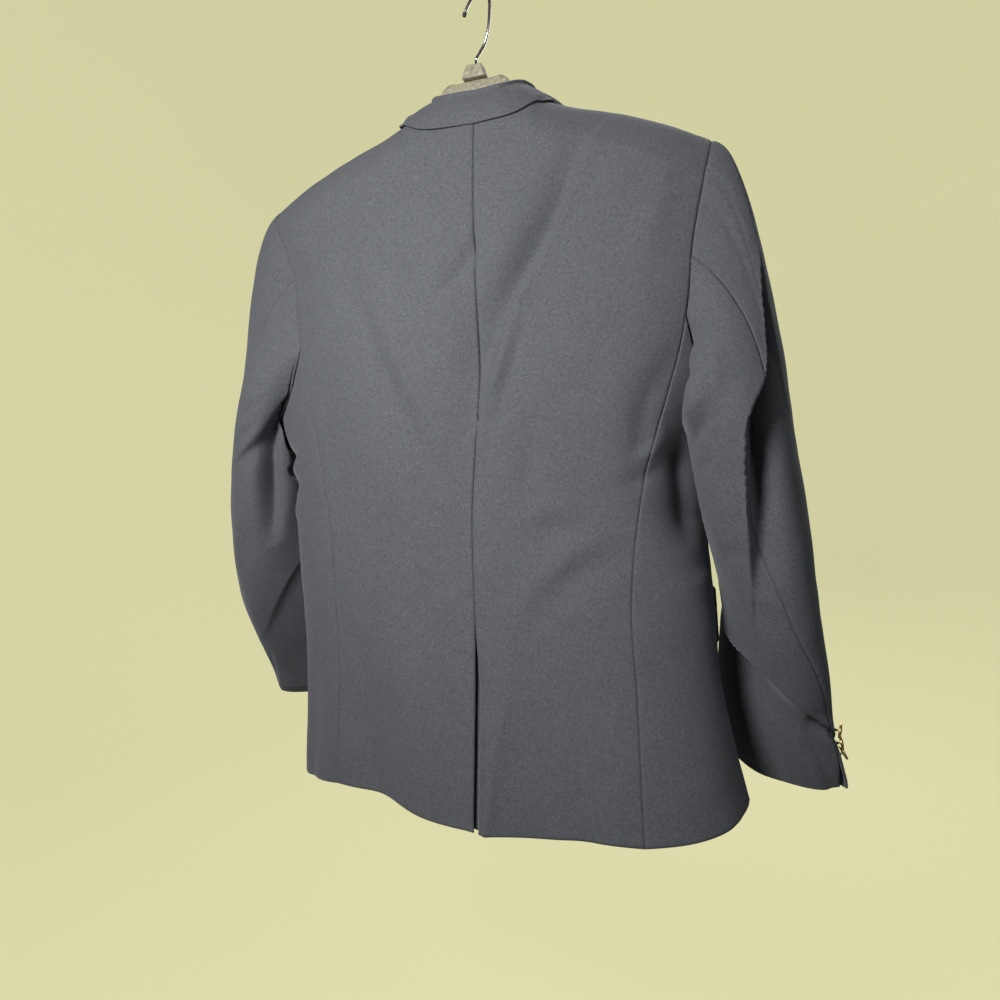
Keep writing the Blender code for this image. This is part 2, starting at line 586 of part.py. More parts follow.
def collar():
    """Stand, roll and leaf as one strip round the neck, from notch to notch. Rows go over the roll."""
    stations = np.linspace(0, len(COLLAR) - 1, COLLAR_STATIONS)
    halves = []
    for side in (RIGHT, LEFT):
        place = {
            name: smooth(range(len(COLLAR)), [row[i] for row in COLLAR], stations)
            for i, name in enumerate(COLLAR_COLUMNS)
        }
        shift = centre(NAPE) * (1 - ease(stations / 2))
        neck = NECK_SIDE_X[side] - side * 0.076
        shift = shift + neck * ease(stations / 2)
        seam = np.stack([side * place["seam_x"] + shift, place["seam_y"], place["seam_z"]], axis=-1)
        roll = np.stack([side * place["roll_x"] + shift, place["roll_y"], place["roll_z"]], axis=-1)
        edge_x, edge_z = side * place["edge_x"] + shift, place["edge_z"]
        on_back = surface(side, False, edge_x, edge_z)[:, 1]
        on_front = surface(side, True, edge_x, edge_z)[:, 1]
        over = COLLAR_WALL + LAY_GAP + 0.001
        edge_y = np.where(stations < 1.9, on_back + over, on_front - over)
        edge_y = np.where(np.abs(stations - 2) < 0.2, 0.5 * (on_back + on_front), edge_y)
        edge = np.stack([edge_x, edge_y, edge_z + 0 * edge_x], axis=-1)
        out = edge - seam
        out[:, 2] = 0
        out /= np.linalg.norm(out, axis=1)[:, None]
        up = np.array([0.0, 0.0, 1.0])
        crest = roll + out * ROLL_RADIUS
        rows = [
            seam,
            0.5 * seam + 0.5 * roll - up * 0.002,
            roll - up * 0.004,
            roll - up * 0.001 + out * 0.0008,
            crest + up * 0.0008,
            roll - up * 0.001 + out * (2 * ROLL_RADIUS - 0.0008),
            roll - up * 0.005 + out * 2 * ROLL_RADIUS,
        ]
        start = rows[-1]
        for t in (0.3, 0.6, 0.85, 1.0):
            bow = 0.003 * math.sin(math.pi * t)
            rows.append(start + (edge - start) * t + out * bow)
        halves.append(off_the_body(side, np.array(rows), COLLAR_WALL / 2 + COLLAR_CLEARANCE))
    right, left = halves
    return np.concatenate([right[:, :0:-1], left], axis=1)


def flap(side):
    """A pocket flap: points of the front and the side panel, moved out."""
    row, column = grid(3, 8)
    corner = np.abs(2 * column - 1) ** 8
    top = FLAP_TOP - 0.006 * (1 - column)
    foot = FLAP_FOOT - 0.006 * (1 - column) + 0.008 * corner
    z = foot + (top - foot) * row
    angle = np.radians(FLAP_REAR + (FLAP_FRONT - FLAP_REAR) * column)
    return skin(side, angle, z)


def normals_of(points):
    """Unit normals of a grid of points, facing away from the grid's own middle line."""
    across = np.gradient(points, axis=1)
    along = np.gradient(points, axis=0)
    normal = np.cross(across, along)
    normal /= np.maximum(np.linalg.norm(normal, axis=2, keepdims=True), 1e-12)
    return normal


def outward_normals(points, middle):
    normal = normals_of(points)
    facing = np.sum(normal * (points - middle))
    return normal if facing > 0 else -normal


def key_of(point):
    return tuple(np.round(point * 2e4).astype(int))


def inner_neighbour(points, j, i):
    rows, columns = points.shape[:2]
    jj = 1 if j == 0 else rows - 2 if j == rows - 1 else j
    ii = 1 if i == 0 else columns - 2 if i == columns - 1 else i
    return points[jj, ii]


def edge_places(points):
    rows, columns = points.shape[:2]
    for j in range(rows):
        for i in range(columns):
            if j in (0, rows - 1) or i in (0, columns - 1):
                yield j, i


def part_at_seams(panels, normals):
    """Gives the panels that meet at a seam one normal there, and moves them apart by the seam's gap."""
    meeting = {}
    for name, points in panels.items():
        for j, i in edge_places(points):
            meeting.setdefault(key_of(points[j, i]), []).append((name, j, i))
    moved = {name: points.copy() for name, points in panels.items()}
    for places in meeting.values():
        names = {name for name, _, _ in places}
        if len(names) < 2:
            continue
        shared = sum(normals[name][j, i] for name, j, i in places)
        shared = shared / np.linalg.norm(shared)
        inner = [inner_neighbour(panels[name], j, i) for name, j, i in places]
        for (name, j, i), own in zip(places, inner):
            others = [point for (other, _, _), point in zip(places, inner) if other != name]
            apart = own - np.mean(others, axis=0)
            apart -= shared * np.dot(apart, shared)
            moved[name][j, i] += apart / np.linalg.norm(apart) * SEAM_STEP
            normals[name][j, i] = shared
    return moved


def make_material(name, colour, roughness, metallic=0.0):
    material = bpy.data.materials.new(name)
    material.use_nodes = True
    shader = material.node_tree.nodes["Principled BSDF"]
    shader.inputs["Base Color"].default_value = (*colour, 1.0)
    shader.inputs["Roughness"].default_value = roughness
    shader.inputs["Metallic"].default_value = metallic
    return material


def finish_object(name, mesh_builder, material):
    """Turns the faces outward, shades the mesh and adds the object."""
    bmesh.ops.recalc_face_normals(mesh_builder, faces=mesh_builder.faces)
    if mesh_builder.calc_volume(signed=True) < 0:
        bmesh.ops.reverse_faces(mesh_builder, faces=mesh_builder.faces)
    mesh = bpy.data.meshes.new(name)
    mesh_builder.to_mesh(mesh)
    mesh_builder.free()
    mesh.shade_smooth()
    mesh.set_sharp_from_angle(angle=math.radians(40))
    mesh.materials.append(material)
    obj = bpy.data.objects.new(name, mesh)
    COLLECTION.objects.link(obj)
    return obj


def wall_object(name, outer, inner, material):
    """A closed cloth wall between two grids of points, with its four edges filled in."""
    rows, columns = outer.shape[:2]
    builder = bmesh.new()
    faces = []
    sheets = []
    for points in (outer, inner):
        sheets.append([[builder.verts.new(points[j, i]) for i in range(columns)] for j in range(rows)])
    for sheet in sheets:
        for j in range(rows - 1):
            for i in range(columns - 1):
                faces.append((sheet[j][i], sheet[j][i + 1], sheet[j + 1][i + 1], sheet[j + 1][i]))
    rim = [(0, i) for i in range(columns)] + [(j, columns - 1) for j in range(1, rows)]
    rim += [(rows - 1, i) for i in range(columns - 2, -1, -1)] + [(j, 0) for j in range(rows - 2, 0, -1)]
    for (j1, i1), (j2, i2) in zip(rim, rim[1:] + rim[:1]):
        faces.append((sheets[0][j1][i1], sheets[0][j2][i2], sheets[1][j2][i2], sheets[1][j1][i1]))
    for face in faces:
        builder.faces.new(face)
    return finish_object(name, builder, material)


def turned_object(name, profile, steps, material):
    """A turned piece: its profile of (radius, height), listed down its outer side, swept round Z."""
    mesh = bpy.data.meshes.new(name)
    points = [(radius, 0.0, height) for radius, height in profile]
    mesh.from_pydata(points, [(i, i + 1) for i in range(len(points) - 1)], [])
    mesh.materials.append(material)
    obj = bpy.data.objects.new(name, mesh)
    COLLECTION.objects.link(obj)
    screw = obj.modifiers.new("turn", "SCREW")
    screw.steps = screw.render_steps = steps
    screw.use_merge_vertices = True
    screw.merge_threshold = 0.00005
    screw.use_smooth_shade = True
    return obj


def button_profile(radius):
    """A shanked metal button: a low dome with a rolled rim, on a narrow neck."""
    return (
        (0.0, 0.0060),
        (0.55 * radius, 0.0057),
        (0.82 * radius, 0.0048),
        (0.96 * radius, 0.0052),
        (radius, 0.0042),
        (0.93 * radius, 0.0032),
        (0.0019, 0.0026),
        (0.0019, 0.0),
        (0.0, 0.0),
    )


def button(name, radius, place, direction, material):
    obj = turned_object(name, button_profile(radius), 12, material)
    obj.location = Vector(place) + Vector(direction).normalized() * SEAM_GAP
    obj.rotation_euler = Vector(direction).to_track_quat("Z", "Y").to_euler()


def front_buttons(metal):
    for number, z in ((1, BREAK - 0.018), (2, LOW_BUTTON)):
        x = centre(np.array([z]))
        place = surface(LEFT, True, x, np.array([z]))[0]
        place[1] -= OVERLAP_LIFT + SEAM_GAP
        button(f"front_button_{number}", FRONT_BUTTON_RADIUS, place, (0, -1, 0), metal)


def cuff_buttons(panels, normals, side, metal):
    """Three in a row beside the elbow seam's vent, on the top sleeve."""
    name = "top_sleeve_" + SIDE_NAME[side]
    points, normal = panels[name][:, -2], normals[name][:, -2]
    run = np.concatenate([[0], np.cumsum(np.linalg.norm(np.diff(points[::-1], axis=0), axis=1))])
    for number in range(3):
        up = CUFF_BUTTON_FIRST + number * CUFF_BUTTON_STEP
        place = [np.interp(up, run, points[::-1, axis]) for axis in range(3)]
        direction = [np.interp(up, run, normal[::-1, axis]) for axis in range(3)]
        direction[1] += CUFF_BUTTON_TURN
        direction[2] += CUFF_BUTTON_RISE[number]
        place = np.array(place) + np.array(direction) * 0.0006
        button(f"cuff_button_{SIDE_NAME[side]}_{number + 1}", CUFF_BUTTON_RADIUS, place, direction, metal)


def tube_object(name, points, radius, material):
    curve = bpy.data.curves.new(name, "CURVE")
    curve.dimensions = "3D"
    curve.bevel_depth = radius
    curve.bevel_resolution = 2
    curve.use_fill_caps = True
    spline = curve.splines.new("POLY")
    spline.points.add(len(points) - 1)
    for point, place in zip(spline.points, points):
        point.co = (*place, 1.0)
    curve.materials.append(material)
    obj = bpy.data.objects.new(name, curve)
    COLLECTION.objects.link(obj)
    return obj


def hook_point(across, z):
    return (across * math.cos(HOOK_TURN), across * math.sin(HOOK_TURN), z)


def hanger_hook(steel, rubber):
    """The wire: a short stem, a bend out and an arc over the rod, with a dark tip."""
    centre_z = HOOK_WIRE - HOOK_RADIUS
    stem = smooth_path(HOOK_STEM, 3)
    arc = [math.radians(HOOK_ARC_START + (HOOK_ARC_END - HOOK_ARC_START) * i / 12) for i in range(13)]
    route = [hook_point(x, z) for x, z in stem[:-1]]
    route += [hook_point(HOOK_RADIUS * math.cos(a), centre_z + HOOK_RADIUS * math.sin(a)) for a in arc]
    tube_object("hanger_hook", route, HOOK_WIRE, steel)
    tip = []
    for share in (0.012, 0.07, 0.13, 0.19):
        a = math.radians(HOOK_ARC_END) + share * (1 if HOOK_ARC_END > HOOK_ARC_START else -1)
        tip.append(hook_point(HOOK_RADIUS * math.cos(a), centre_z + HOOK_RADIUS * math.sin(a)))
    tube_object("hanger_tip", tip, HOOK_WIRE + 0.0006, rubber)


def smooth_path(places, steps):
    """Points on a smooth curve through a few places."""
    places = np.array(places)
    at = np.linspace(0, len(places) - 1, steps * (len(places) - 1) + 1)
    axes = range(places.shape[1])
    return np.stack([smooth(range(len(places)), places[:, axis], at) for axis in axes], axis=1)


def hanger_bar(plastic):
    """A flat-sided bar with rounded edges: a raised middle under the block and two sloping arms."""
    sides = 10
    arm = np.array([0.0, 0.018, 0.034, 0.039, 0.044, 0.056, 0.070, 0.100, 0.135, 0.180, BAR_REACH])
    x = np.concatenate([-arm[:0:-1], arm])
    top = smooth([row[0] for row in BAR], [row[1] for row in BAR], np.abs(x))
    height = smooth([row[0] for row in BAR], [row[2] for row in BAR], np.abs(x))
    angle = np.linspace(0, 2 * np.pi, sides + 1)[:-1]
    builder = bmesh.new()
    loops = []
    for i in range(len(x)):
        y = BAR_HALF_WIDTH * signed_power(np.cos(angle), 0.6)
        z = top[i] - height[i] / 2 + height[i] / 2 * signed_power(np.sin(angle), 0.6)
        loops.append([builder.verts.new((x[i], y[k], z[k])) for k in range(sides)])
    for one, two in zip(loops, loops[1:]):
        for k in range(sides):
            builder.faces.new((one[k], one[(k + 1) % sides], two[(k + 1) % sides], two[k]))
    builder.faces.new(loops[0])
    builder.faces.new(loops[-1])
    finish_object("hanger_bar", builder, plastic)


def hanger_block(plastic):
    """The neck block: a tapered box with softened edges."""
    builder = bmesh.new()
    bmesh.ops.create_cube(builder, size=1)
    height = BLOCK_TOP - BLOCK_FOOT
    for vert in builder.verts:
        half = BLOCK_TOP_HALF if vert.co.z > 0 else BLOCK_FOOT_HALF
        vert.co = (2 * half * vert.co.x, BLOCK_DEPTH * vert.co.y, BLOCK_FOOT + height * (vert.co.z + 0.5))
    obj = finish_object("hanger_block", builder, plastic)
    bevel = obj.modifiers.new("soften", "BEVEL")
    bevel.width = 0.0012
    bevel.segments = 2


def cloth_panels():
    panels = {}
    for side in (RIGHT, LEFT):
        name = SIDE_NAME[side]
        panels["back_" + name] = back_panel(side)
        panels["side_" + name] = side_panel(side)
        panels["front_" + name] = front_panel(side)
    for side in (RIGHT, LEFT):
        name = SIDE_NAME[side]
        rings, elbow, forearm = sleeve_rings(panels, side)
        panels["under_sleeve_" + name] = rings[:, elbow : forearm + 1]
        last = rings.shape[1] - 1
        panels["top_sleeve_" + name] = np.concatenate(
            [rings[:, forearm:last], rings[:, : elbow + 1]], axis=1
        )
    return panels


def middle_of(name, points):
    """The line that a panel's outer face looks away from."""
    if "sleeve" in name:
        side = RIGHT if "right" in name else LEFT
        z = points[..., 2]
        return np.stack([sleeve_column(side, "x", z), sleeve_column(side, "y", z), z], axis=-1)
    return np.stack([centre(points[..., 2]), BODY_MIDDLE_Y + 0 * points[..., 2], points[..., 2]], axis=-1)


def main():
    for obj in list(bpy.data.objects):
        bpy.data.objects.remove(obj)
    bpy.context.scene.collection.children.link(COLLECTION)
    wool = make_material("wool", (0.085, 0.090, 0.102), 0.85)
    gold = make_material("gold_tone_metal", (0.55, 0.38, 0.13), 0.32, 1.0)
    steel = make_material("hook_steel", (0.55, 0.55, 0.54), 0.28, 1.0)
    plastic = make_material("hanger_plastic", (0.40, 0.37, 0.27), 0.5)
    dark = make_material("dark_tip", (0.02, 0.02, 0.02), 0.6)
    panels = cloth_panels()
    normals = {name: outward_normals(points, middle_of(name, points)) for name, points in panels.items()}
    panels = part_at_seams(panels, normals)
    for name, points in panels.items():
        wall_object(name, points, points - normals[name] * WALL, wool)
    underlap = vent_underlap()
    normal = outward_normals(underlap, middle_of("back", underlap))
    outer = underlap - normal * (WALL + UNDERLAP_GAP)
    wall_object("vent_underlap", outer, outer - normal * WALL, wool)
    for side in (RIGHT, LEFT):
        name = SIDE_NAME[side]
        points = lapel(side)
        normal = outward_normals(points, middle_of("front", points))
        wall_object("lapel_" + name, points, points - normal * WALL, wool)
        points = flap(side)
        normal = outward_normals(points, middle_of("front", points))
        wall_object("flap_" + name, points + normal * (LAY_GAP + WALL), points + normal * LAY_GAP, wool)
        cuff_buttons(panels, normals, side, gold)
    points = collar()
    normal = outward_normals(points[-4:], middle_of("back", points[-4:]))
    full = normals_of(points)
    if np.sum(full[-4:] * normal) < 0:
        full = -full
    wall_object("collar", points + full * COLLAR_WALL / 2, points - full * COLLAR_WALL / 2, wool)
    front_buttons(gold)
    hanger_hook(steel, dark)
    hanger_bar(plastic)
    hanger_block(plastic)


main()
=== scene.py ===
import math

import bmesh
import bpy
import numpy as np
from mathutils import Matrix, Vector


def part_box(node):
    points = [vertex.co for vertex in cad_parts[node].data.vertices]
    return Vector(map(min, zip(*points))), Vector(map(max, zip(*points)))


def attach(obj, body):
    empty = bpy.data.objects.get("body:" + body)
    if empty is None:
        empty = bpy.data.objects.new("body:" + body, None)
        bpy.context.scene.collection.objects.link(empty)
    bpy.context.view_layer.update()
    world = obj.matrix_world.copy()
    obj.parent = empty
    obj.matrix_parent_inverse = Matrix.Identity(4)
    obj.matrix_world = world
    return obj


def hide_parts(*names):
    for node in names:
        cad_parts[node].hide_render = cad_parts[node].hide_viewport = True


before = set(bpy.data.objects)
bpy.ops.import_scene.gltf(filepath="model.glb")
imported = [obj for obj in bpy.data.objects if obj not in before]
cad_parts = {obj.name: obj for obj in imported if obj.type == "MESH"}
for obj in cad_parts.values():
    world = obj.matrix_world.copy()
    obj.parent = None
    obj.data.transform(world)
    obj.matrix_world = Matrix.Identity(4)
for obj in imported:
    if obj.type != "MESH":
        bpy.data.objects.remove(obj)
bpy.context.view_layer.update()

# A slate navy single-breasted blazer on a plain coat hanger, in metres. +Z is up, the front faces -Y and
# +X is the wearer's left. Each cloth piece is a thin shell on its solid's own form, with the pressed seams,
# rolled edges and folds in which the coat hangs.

RIGHT, LEFT = -1, 1
SIDE_NAME = {RIGHT: "right", LEFT: "left"}

# Cloth.
CLOTH = 0.0012
SEAM_DIP, SEAM_ROLL = 0.00105, 0.0013  # how far the cloth turns in at a seam, and over what width
PUCKER, PUCKER_REACH = 0.00016, 0.005
RIPPLE = 0.00045
LAY_GAP = 0.0013  # between a layer of cloth and the one it lies on

# Rows and columns of each panel's grid.
LOW_ROWS, HIGH_ROWS = 150, 64
BACK_COLUMNS, FRONT_COLUMNS, SIDE_COLUMNS = 84, 66, 36
CAP_ROWS, SLEEVE_ROWS = 54, 170
TOP_COLUMNS, UNDER_COLUMNS = 140, 96
EDGE_STEPS = (0.0006, 0.0013, 0.0022, 0.0034, 0.0050)

# Body of the coat. Heights are below the hook.
HEM = -0.853
BACK_HEM_RISE = {RIGHT: 0.008, LEFT: 0.014}
FRONT_HEM_STEP = {RIGHT: 0.036, LEFT: -0.040}
FRONT_DIP = 0.006
FRONT_CORNER_RISE = 0.050
FRONT_CUTAWAY = 0.070  # how far the free edge runs back between the low button and the hem
VENT_TOP = -0.648
BREAK = -0.530
LOW_BUTTON = -0.655
BACK_JUNCTION = -0.367
FRONT_JUNCTION = -0.397
UNDERARM = -0.447
NAPE = -0.147
NAPE_Y = 0.040
BODY_MIDDLE_Y = -0.020
BODY_POWER = 2.6
FRONT_OVERLAP = 0.020
OVERLAP_LIFT = 0.0032
LIFT_WIDTH = 0.09
OVERLAP_REACH, OVERLAP_FADE = 0.16, 0.05  # above the break
SHOULDER_ROLL, NAPE_ROLL = 0.052, 0.012
ROLL_POWER = 1.7
VENT_SPREAD, VENT_FADE = 0.0052, 0.08
UNDERLAP_WIDTH = 0.032
UNDERLAP_GAP = 0.0050

SECTION_COLUMNS = (
    "height", "right", "left", "seam_right", "seam_left", "fore_right", "fore_left", "back", "front",
    "turn",
)
# The reach of the body to each side, where the side back and side front seams (above them the
# armhole edges) run, the depths at the centre, and how far the section is turned.
SECTIONS = (
    (-0.9, -0.29, 0.222, -0.196, 0.138, -0.215, 0.175, 0.082, -0.135, -0.06),
    (-0.853, -0.279, 0.218, -0.194, 0.138, -0.21, 0.175, 0.08, -0.132, -0.06),
    (-0.78, -0.262, 0.212, -0.189, 0.138, -0.203, 0.175, 0.076, -0.128, -0.05),
    (-0.71, -0.249, 0.212, -0.184, 0.139, -0.196, 0.175, 0.071, -0.125, -0.03),
    (-0.64, -0.244, 0.221, -0.178, 0.143, -0.192, 0.174, 0.066, -0.122, -0.02),
    (-0.57, -0.238, 0.227, -0.181, 0.15, -0.19, 0.172, 0.062, -0.122, -0.01),
    (-0.51, -0.238, 0.228, -0.19, 0.16, -0.192, 0.176, 0.062, -0.126, 0),
    (-0.45, -0.242, 0.236, -0.206, 0.174, -0.198, 0.186, 0.064, -0.13, 0),
    (-0.397, -0.246, 0.238, -0.219, 0.188, -0.206, 0.192, 0.065, -0.13, 0),
    (-0.35, -0.256, 0.24, -0.226, 0.197, -0.203, 0.19, 0.064, -0.124, 0),
    (-0.3, -0.268, 0.248, -0.229, 0.203, -0.204, 0.193, 0.06, -0.116, 0),
    (-0.25, -0.275, 0.262, -0.235, 0.212, -0.214, 0.206, 0.055, -0.103, 0),
    (-0.193, -0.285, 0.285, -0.244, 0.246, -0.244, 0.246, 0.05, -0.08, 0),
    (-0.11, -0.295, 0.295, -0.25, 0.252, -0.25, 0.252, 0.042, -0.06, 0),
)
CENTRE = (
    (-0.9, -0.033), (-0.64, -0.027), (-0.56, -0.022), (-0.42, -0.028), (-0.26, -0.021),
    (-0.11, -0.017),
)
SHOULDER = (
    (0, -0.104), (0.075, -0.127), (0.1, -0.138), (0.14, -0.151), (0.176, -0.164),
    (0.206, -0.177), (0.246, -0.197),
)
NECK_SIDE_X = {RIGHT: -0.082, LEFT: 0.070}
SHOULDER_TIP_X = {RIGHT: -0.244, LEFT: 0.246}
NECK_SHARE = 0.3  # of the back's columns, to the side of the neck

# Creases of the body: the face, the kind, the width, the height out of the cloth at the start, the middle
# and the end, and a smooth path (across, up). Across is x on the back and front, y on the sides. A fold is
# a ridge or a trough, an edge is a sharp ridge, a step rises on the left of its path and sinks on the
# right, and a cliff drops sharply on the left of its path and comes back slowly.
CREASES = (
    ("back", "cliff", 0.026, (-0.004, -0.015, -0.0015),
     ((-0.14, -0.19), (-0.124, -0.232), (-0.107, -0.277), (-0.084, -0.316), (-0.066, -0.35),
      (-0.032, -0.445))),
    ("back", "edge", 0.0085, (0, 0.003, 0),
     ((-0.104, -0.29), (-0.078, -0.338), (-0.058, -0.392), (-0.034, -0.452), (-0.03, -0.5))),
    ("back", "fold", 0.007, (0, -0.004, 0),
     ((-0.08, -0.366), (-0.067, -0.4), (-0.051, -0.449), (-0.038, -0.5))),
    ("back", "fold", 0.0075, (-0.0008, -0.0042, 0),
     ((-0.031, -0.258), (-0.022, -0.286), (0, -0.318), (0.028, -0.346))),
    ("back", "fold", 0.024, (0, -0.006, 0),
     ((-0.022, -0.2), (-0.022, -0.33), (-0.023, -0.47), (-0.023, -0.6))),
    ("back", "fold", 0.013, (0, -0.0055, 0),
     ((0.14, -0.255), (0.12, -0.31), (0.097, -0.356), (0.068, -0.421), (0.04, -0.473),
      (0.002, -0.537))),
    ("back", "fold", 0.03, (0, 0.0042, 0),
     ((0.12, -0.25), (0.08, -0.34), (0.045, -0.43), (0.01, -0.52))),
    ("back", "fold", 0.034, (0, 0.004, 0),
     ((0.15, -0.3), (0.118, -0.4), (0.08, -0.5), (0.04, -0.6))),
    ("back", "step", 0.011, (0, 0.0022, 0.0003),
     ((-0.178, -0.566), (-0.15, -0.583), (-0.124, -0.598), (-0.1, -0.62), (-0.072, -0.649))),
    ("back", "edge", 0.01, (0.001, 0.0038, 0.007),
     ((-0.07, -0.652), (-0.065, -0.691), (-0.062, -0.73), (-0.053, -0.782), (-0.045, -0.86))),
    ("back", "fold", 0.028, (0, -0.003, -0.004),
     ((-0.092, -0.64), (-0.094, -0.72), (-0.09, -0.87))),
    ("back", "fold", 0.012, (0, 0.0016, 0),
     ((-0.054, -0.576), (-0.08, -0.556), (-0.1, -0.548), (-0.135, -0.54))),
    ("back", "fold", 0.014, (0, -0.002, 0),
     ((-0.044, -0.59), (-0.078, -0.57), (-0.112, -0.565), (-0.15, -0.56))),
    ("back", "fold", 0.01, (-0.001, -0.003, 0),
     ((-0.217, -0.395), (-0.2, -0.425), (-0.188, -0.455), (-0.183, -0.491), (-0.175, -0.545))),
    ("back", "fold", 0.015, (0, 0.0014, 0),
     ((-0.19, -0.37), (-0.168, -0.42), (-0.158, -0.48), (-0.154, -0.54))),
    ("back", "fold", 0.0065, (0, 0.003, 0),
     ((-0.168, -0.506), (-0.182, -0.5), (-0.196, -0.49), (-0.212, -0.47))),
    ("back", "fold", 0.006, (0, -0.003, 0),
     ((-0.165, -0.522), (-0.182, -0.519), (-0.196, -0.512), (-0.214, -0.5))),
    ("back", "fold", 0.012, (0, -0.003, 0),
     ((-0.088, -0.455), (-0.08, -0.508), (-0.075, -0.57))),
    ("back", "fold", 0.034, (0, -0.007, -0.01),
     ((0.118, -0.64), (0.1, -0.735), (0.088, -0.786), (0.08, -0.88))),
    ("back", "fold", 0.034, (0, 0.003, 0.003),
     ((0.06, -0.64), (0.046, -0.74), (0.03, -0.88))),
    ("back", "fold", 0.02, (0, -0.0016, -0.003),
     ((-0.14, -0.65), (-0.142, -0.741), (-0.136, -0.88))),
    ("back", "fold", 0.013, (0, -0.0022, 0),
     ((0.205, -0.262), (0.192, -0.292), (0.172, -0.318))),
    ("back", "fold", 0.016, (0, 0.003, 0),
     ((-0.214, -0.23), (-0.196, -0.28), (-0.176, -0.33))),
    ("back", "fold", 0.006, (-0.0015, -0.002, 0),
     ((-0.238, -0.236), (-0.224, -0.24), (-0.206, -0.238))),
    ("back", "fold", 0.006, (-0.001, -0.0016, 0),
     ((-0.236, -0.262), (-0.22, -0.262), (-0.2, -0.27))),
    ("front", "fold", 0.02, (0, -0.005, 0),
     ((0.17, -0.3), (0.13, -0.4), (0.07, -0.5), (0.02, -0.56))),
    ("front", "fold", 0.016, (0, 0.0036, 0),
     ((0.186, -0.36), (0.15, -0.44), (0.1, -0.52))),
    ("front", "fold", 0.024, (0, -0.005, 0),
     ((-0.19, -0.3), (-0.15, -0.41), (-0.1, -0.5), (-0.04, -0.57))),
    ("front", "fold", 0.013, (0, 0.0034, 0),
     ((-0.186, -0.39), (-0.14, -0.47), (-0.09, -0.53))),
    ("front", "fold", 0.022, (0, -0.0035, -0.006),
     ((-0.12, -0.67), (-0.128, -0.76), (-0.14, -0.87))),
    ("front", "fold", 0.024, (0, 0.0035, 0.006),
     ((0.11, -0.67), (0.112, -0.76), (0.12, -0.88))),
    ("side_left", "fold", 0.015, (0.0015, 0.0095, 0),
     ((0.012, -0.392), (0.004, -0.43), (-0.006, -0.47), (-0.01, -0.5))),
    ("side_left", "fold", 0.0065, (0, -0.0045, 0),
     ((0.04, -0.47), (0.02, -0.482), (0, -0.485), (-0.03, -0.47))),
    ("side_left", "fold", 0.0065, (0, 0.0035, 0),
     ((0.036, -0.498), (0.015, -0.5), (-0.01, -0.506), (-0.04, -0.5))),
    ("side_left", "fold", 0.0065, (0, -0.0034, 0),
     ((0.034, -0.522), (0.01, -0.52), (-0.02, -0.526))),
    ("side_left", "fold", 0.01, (0, 0.0026, 0),
     ((0.03, -0.56), (0.005, -0.548), (-0.03, -0.556))),
    ("side_left", "fold", 0.02, (0, 0.006, 0.01),
     ((0.02, -0.65), (0, -0.73), (-0.03, -0.88))),
    ("side_left", "fold", 0.018, (0, -0.006, -0.008),
     ((0.044, -0.66), (0.034, -0.74), (0.02, -0.88))),
    ("side_right", "fold", 0.028, (-0.005, -0.023, 0),
     ((0.034, -0.445), (0.024, -0.48), (0.018, -0.52), (0.012, -0.56), (0, -0.61))),
    ("side_right", "fold", 0.01, (0, 0.0022, 0),
     ((0.06, -0.545), (0.04, -0.532), (0.024, -0.53), (0, -0.54))),
    ("side_right", "fold", 0.01, (0, -0.0022, 0),
     ((0.04, -0.57), (0.016, -0.556), (-0.012, -0.552), (-0.045, -0.56))),
    ("side_right", "fold", 0.012, (0, 0.0025, 0),
     ((0.036, -0.598), (0.01, -0.582), (-0.02, -0.578))),
    ("side_right", "fold", 0.011, (0, -0.002, 0),
     ((0.04, -0.5), (0.015, -0.5), (-0.015, -0.496))),
    ("side_right", "fold", 0.022, (0, 0.004, 0.006),
     ((0, -0.66), (-0.01, -0.76), (-0.02, -0.88))),
)

# Sleeves, below the armhole: the middle of each section, its half length and half thickness, how far
# it is turned from fore-and-aft, and where the elbow and forearm seams lie round it, in degrees.
SLEEVE_COLUMNS = ("height", "x", "y", "long", "short", "turn", "elbow", "forearm")
SLEEVES = {
    RIGHT: (
        (-0.47, -0.268, -0.01, 0.076, 0.047, -10, 48, 255),
        (-0.54, -0.278, -0.0235, 0.0765, 0.049, 0, 88, 255),
        (-0.617, -0.289, -0.038, 0.073, 0.043, 16, 90, 250),
        (-0.675, -0.292, -0.0545, 0.0745, 0.04, 30, 84, 250),
        (-0.74, -0.2955, -0.071, 0.07, 0.031, 45, 82, 255),
        (-0.815, -0.302, -0.09, 0.063, 0.023, 60, 84, 262),
    ),
    LEFT: (
        (-0.47, 0.27, -0.036, 0.074, 0.045, 0, 44, 255),
        (-0.54, 0.278, -0.05, 0.074, 0.047, 12, 52, 255),
        (-0.617, 0.279, -0.07, 0.073, 0.04, 28, 62, 250),
        (-0.675, 0.278, -0.096, 0.07, 0.034, 40, 66, 250),
        (-0.73, 0.279, -0.122, 0.066, 0.028, 50, 66, 255),
        (-0.79, 0.285, -0.15, 0.063, 0.023, 57, 64, 262),
    ),
}
CUFF_RISE, CUFF_RISE_START = 0.014, 0.10
SLEEVE_POWER = 0.9
SETTLE_LENGTH, TILT_LENGTH = 0.12, 0.15  # from the armhole to where the sleeve has its own form
SLOPE_STEP = 0.02
CAP_OUT, CAP_DOWN = 0.13, 0.55  # how strongly the cap leaves the armhole and enters the sleeve
UNDER_CAP, UNDER_CAP_FADE = 0.085, 0.03
BULGE_ROOM = 1.6
ELBOW_SEAM_START = {RIGHT: -0.314, LEFT: -0.290}
FOREARM_SEAM_START = -0.365
SLEEVE_CLEARANCE = 0.0065
SLEEVE_GIRTH = 0.060  # metres of cloth to a radian round the sleeve

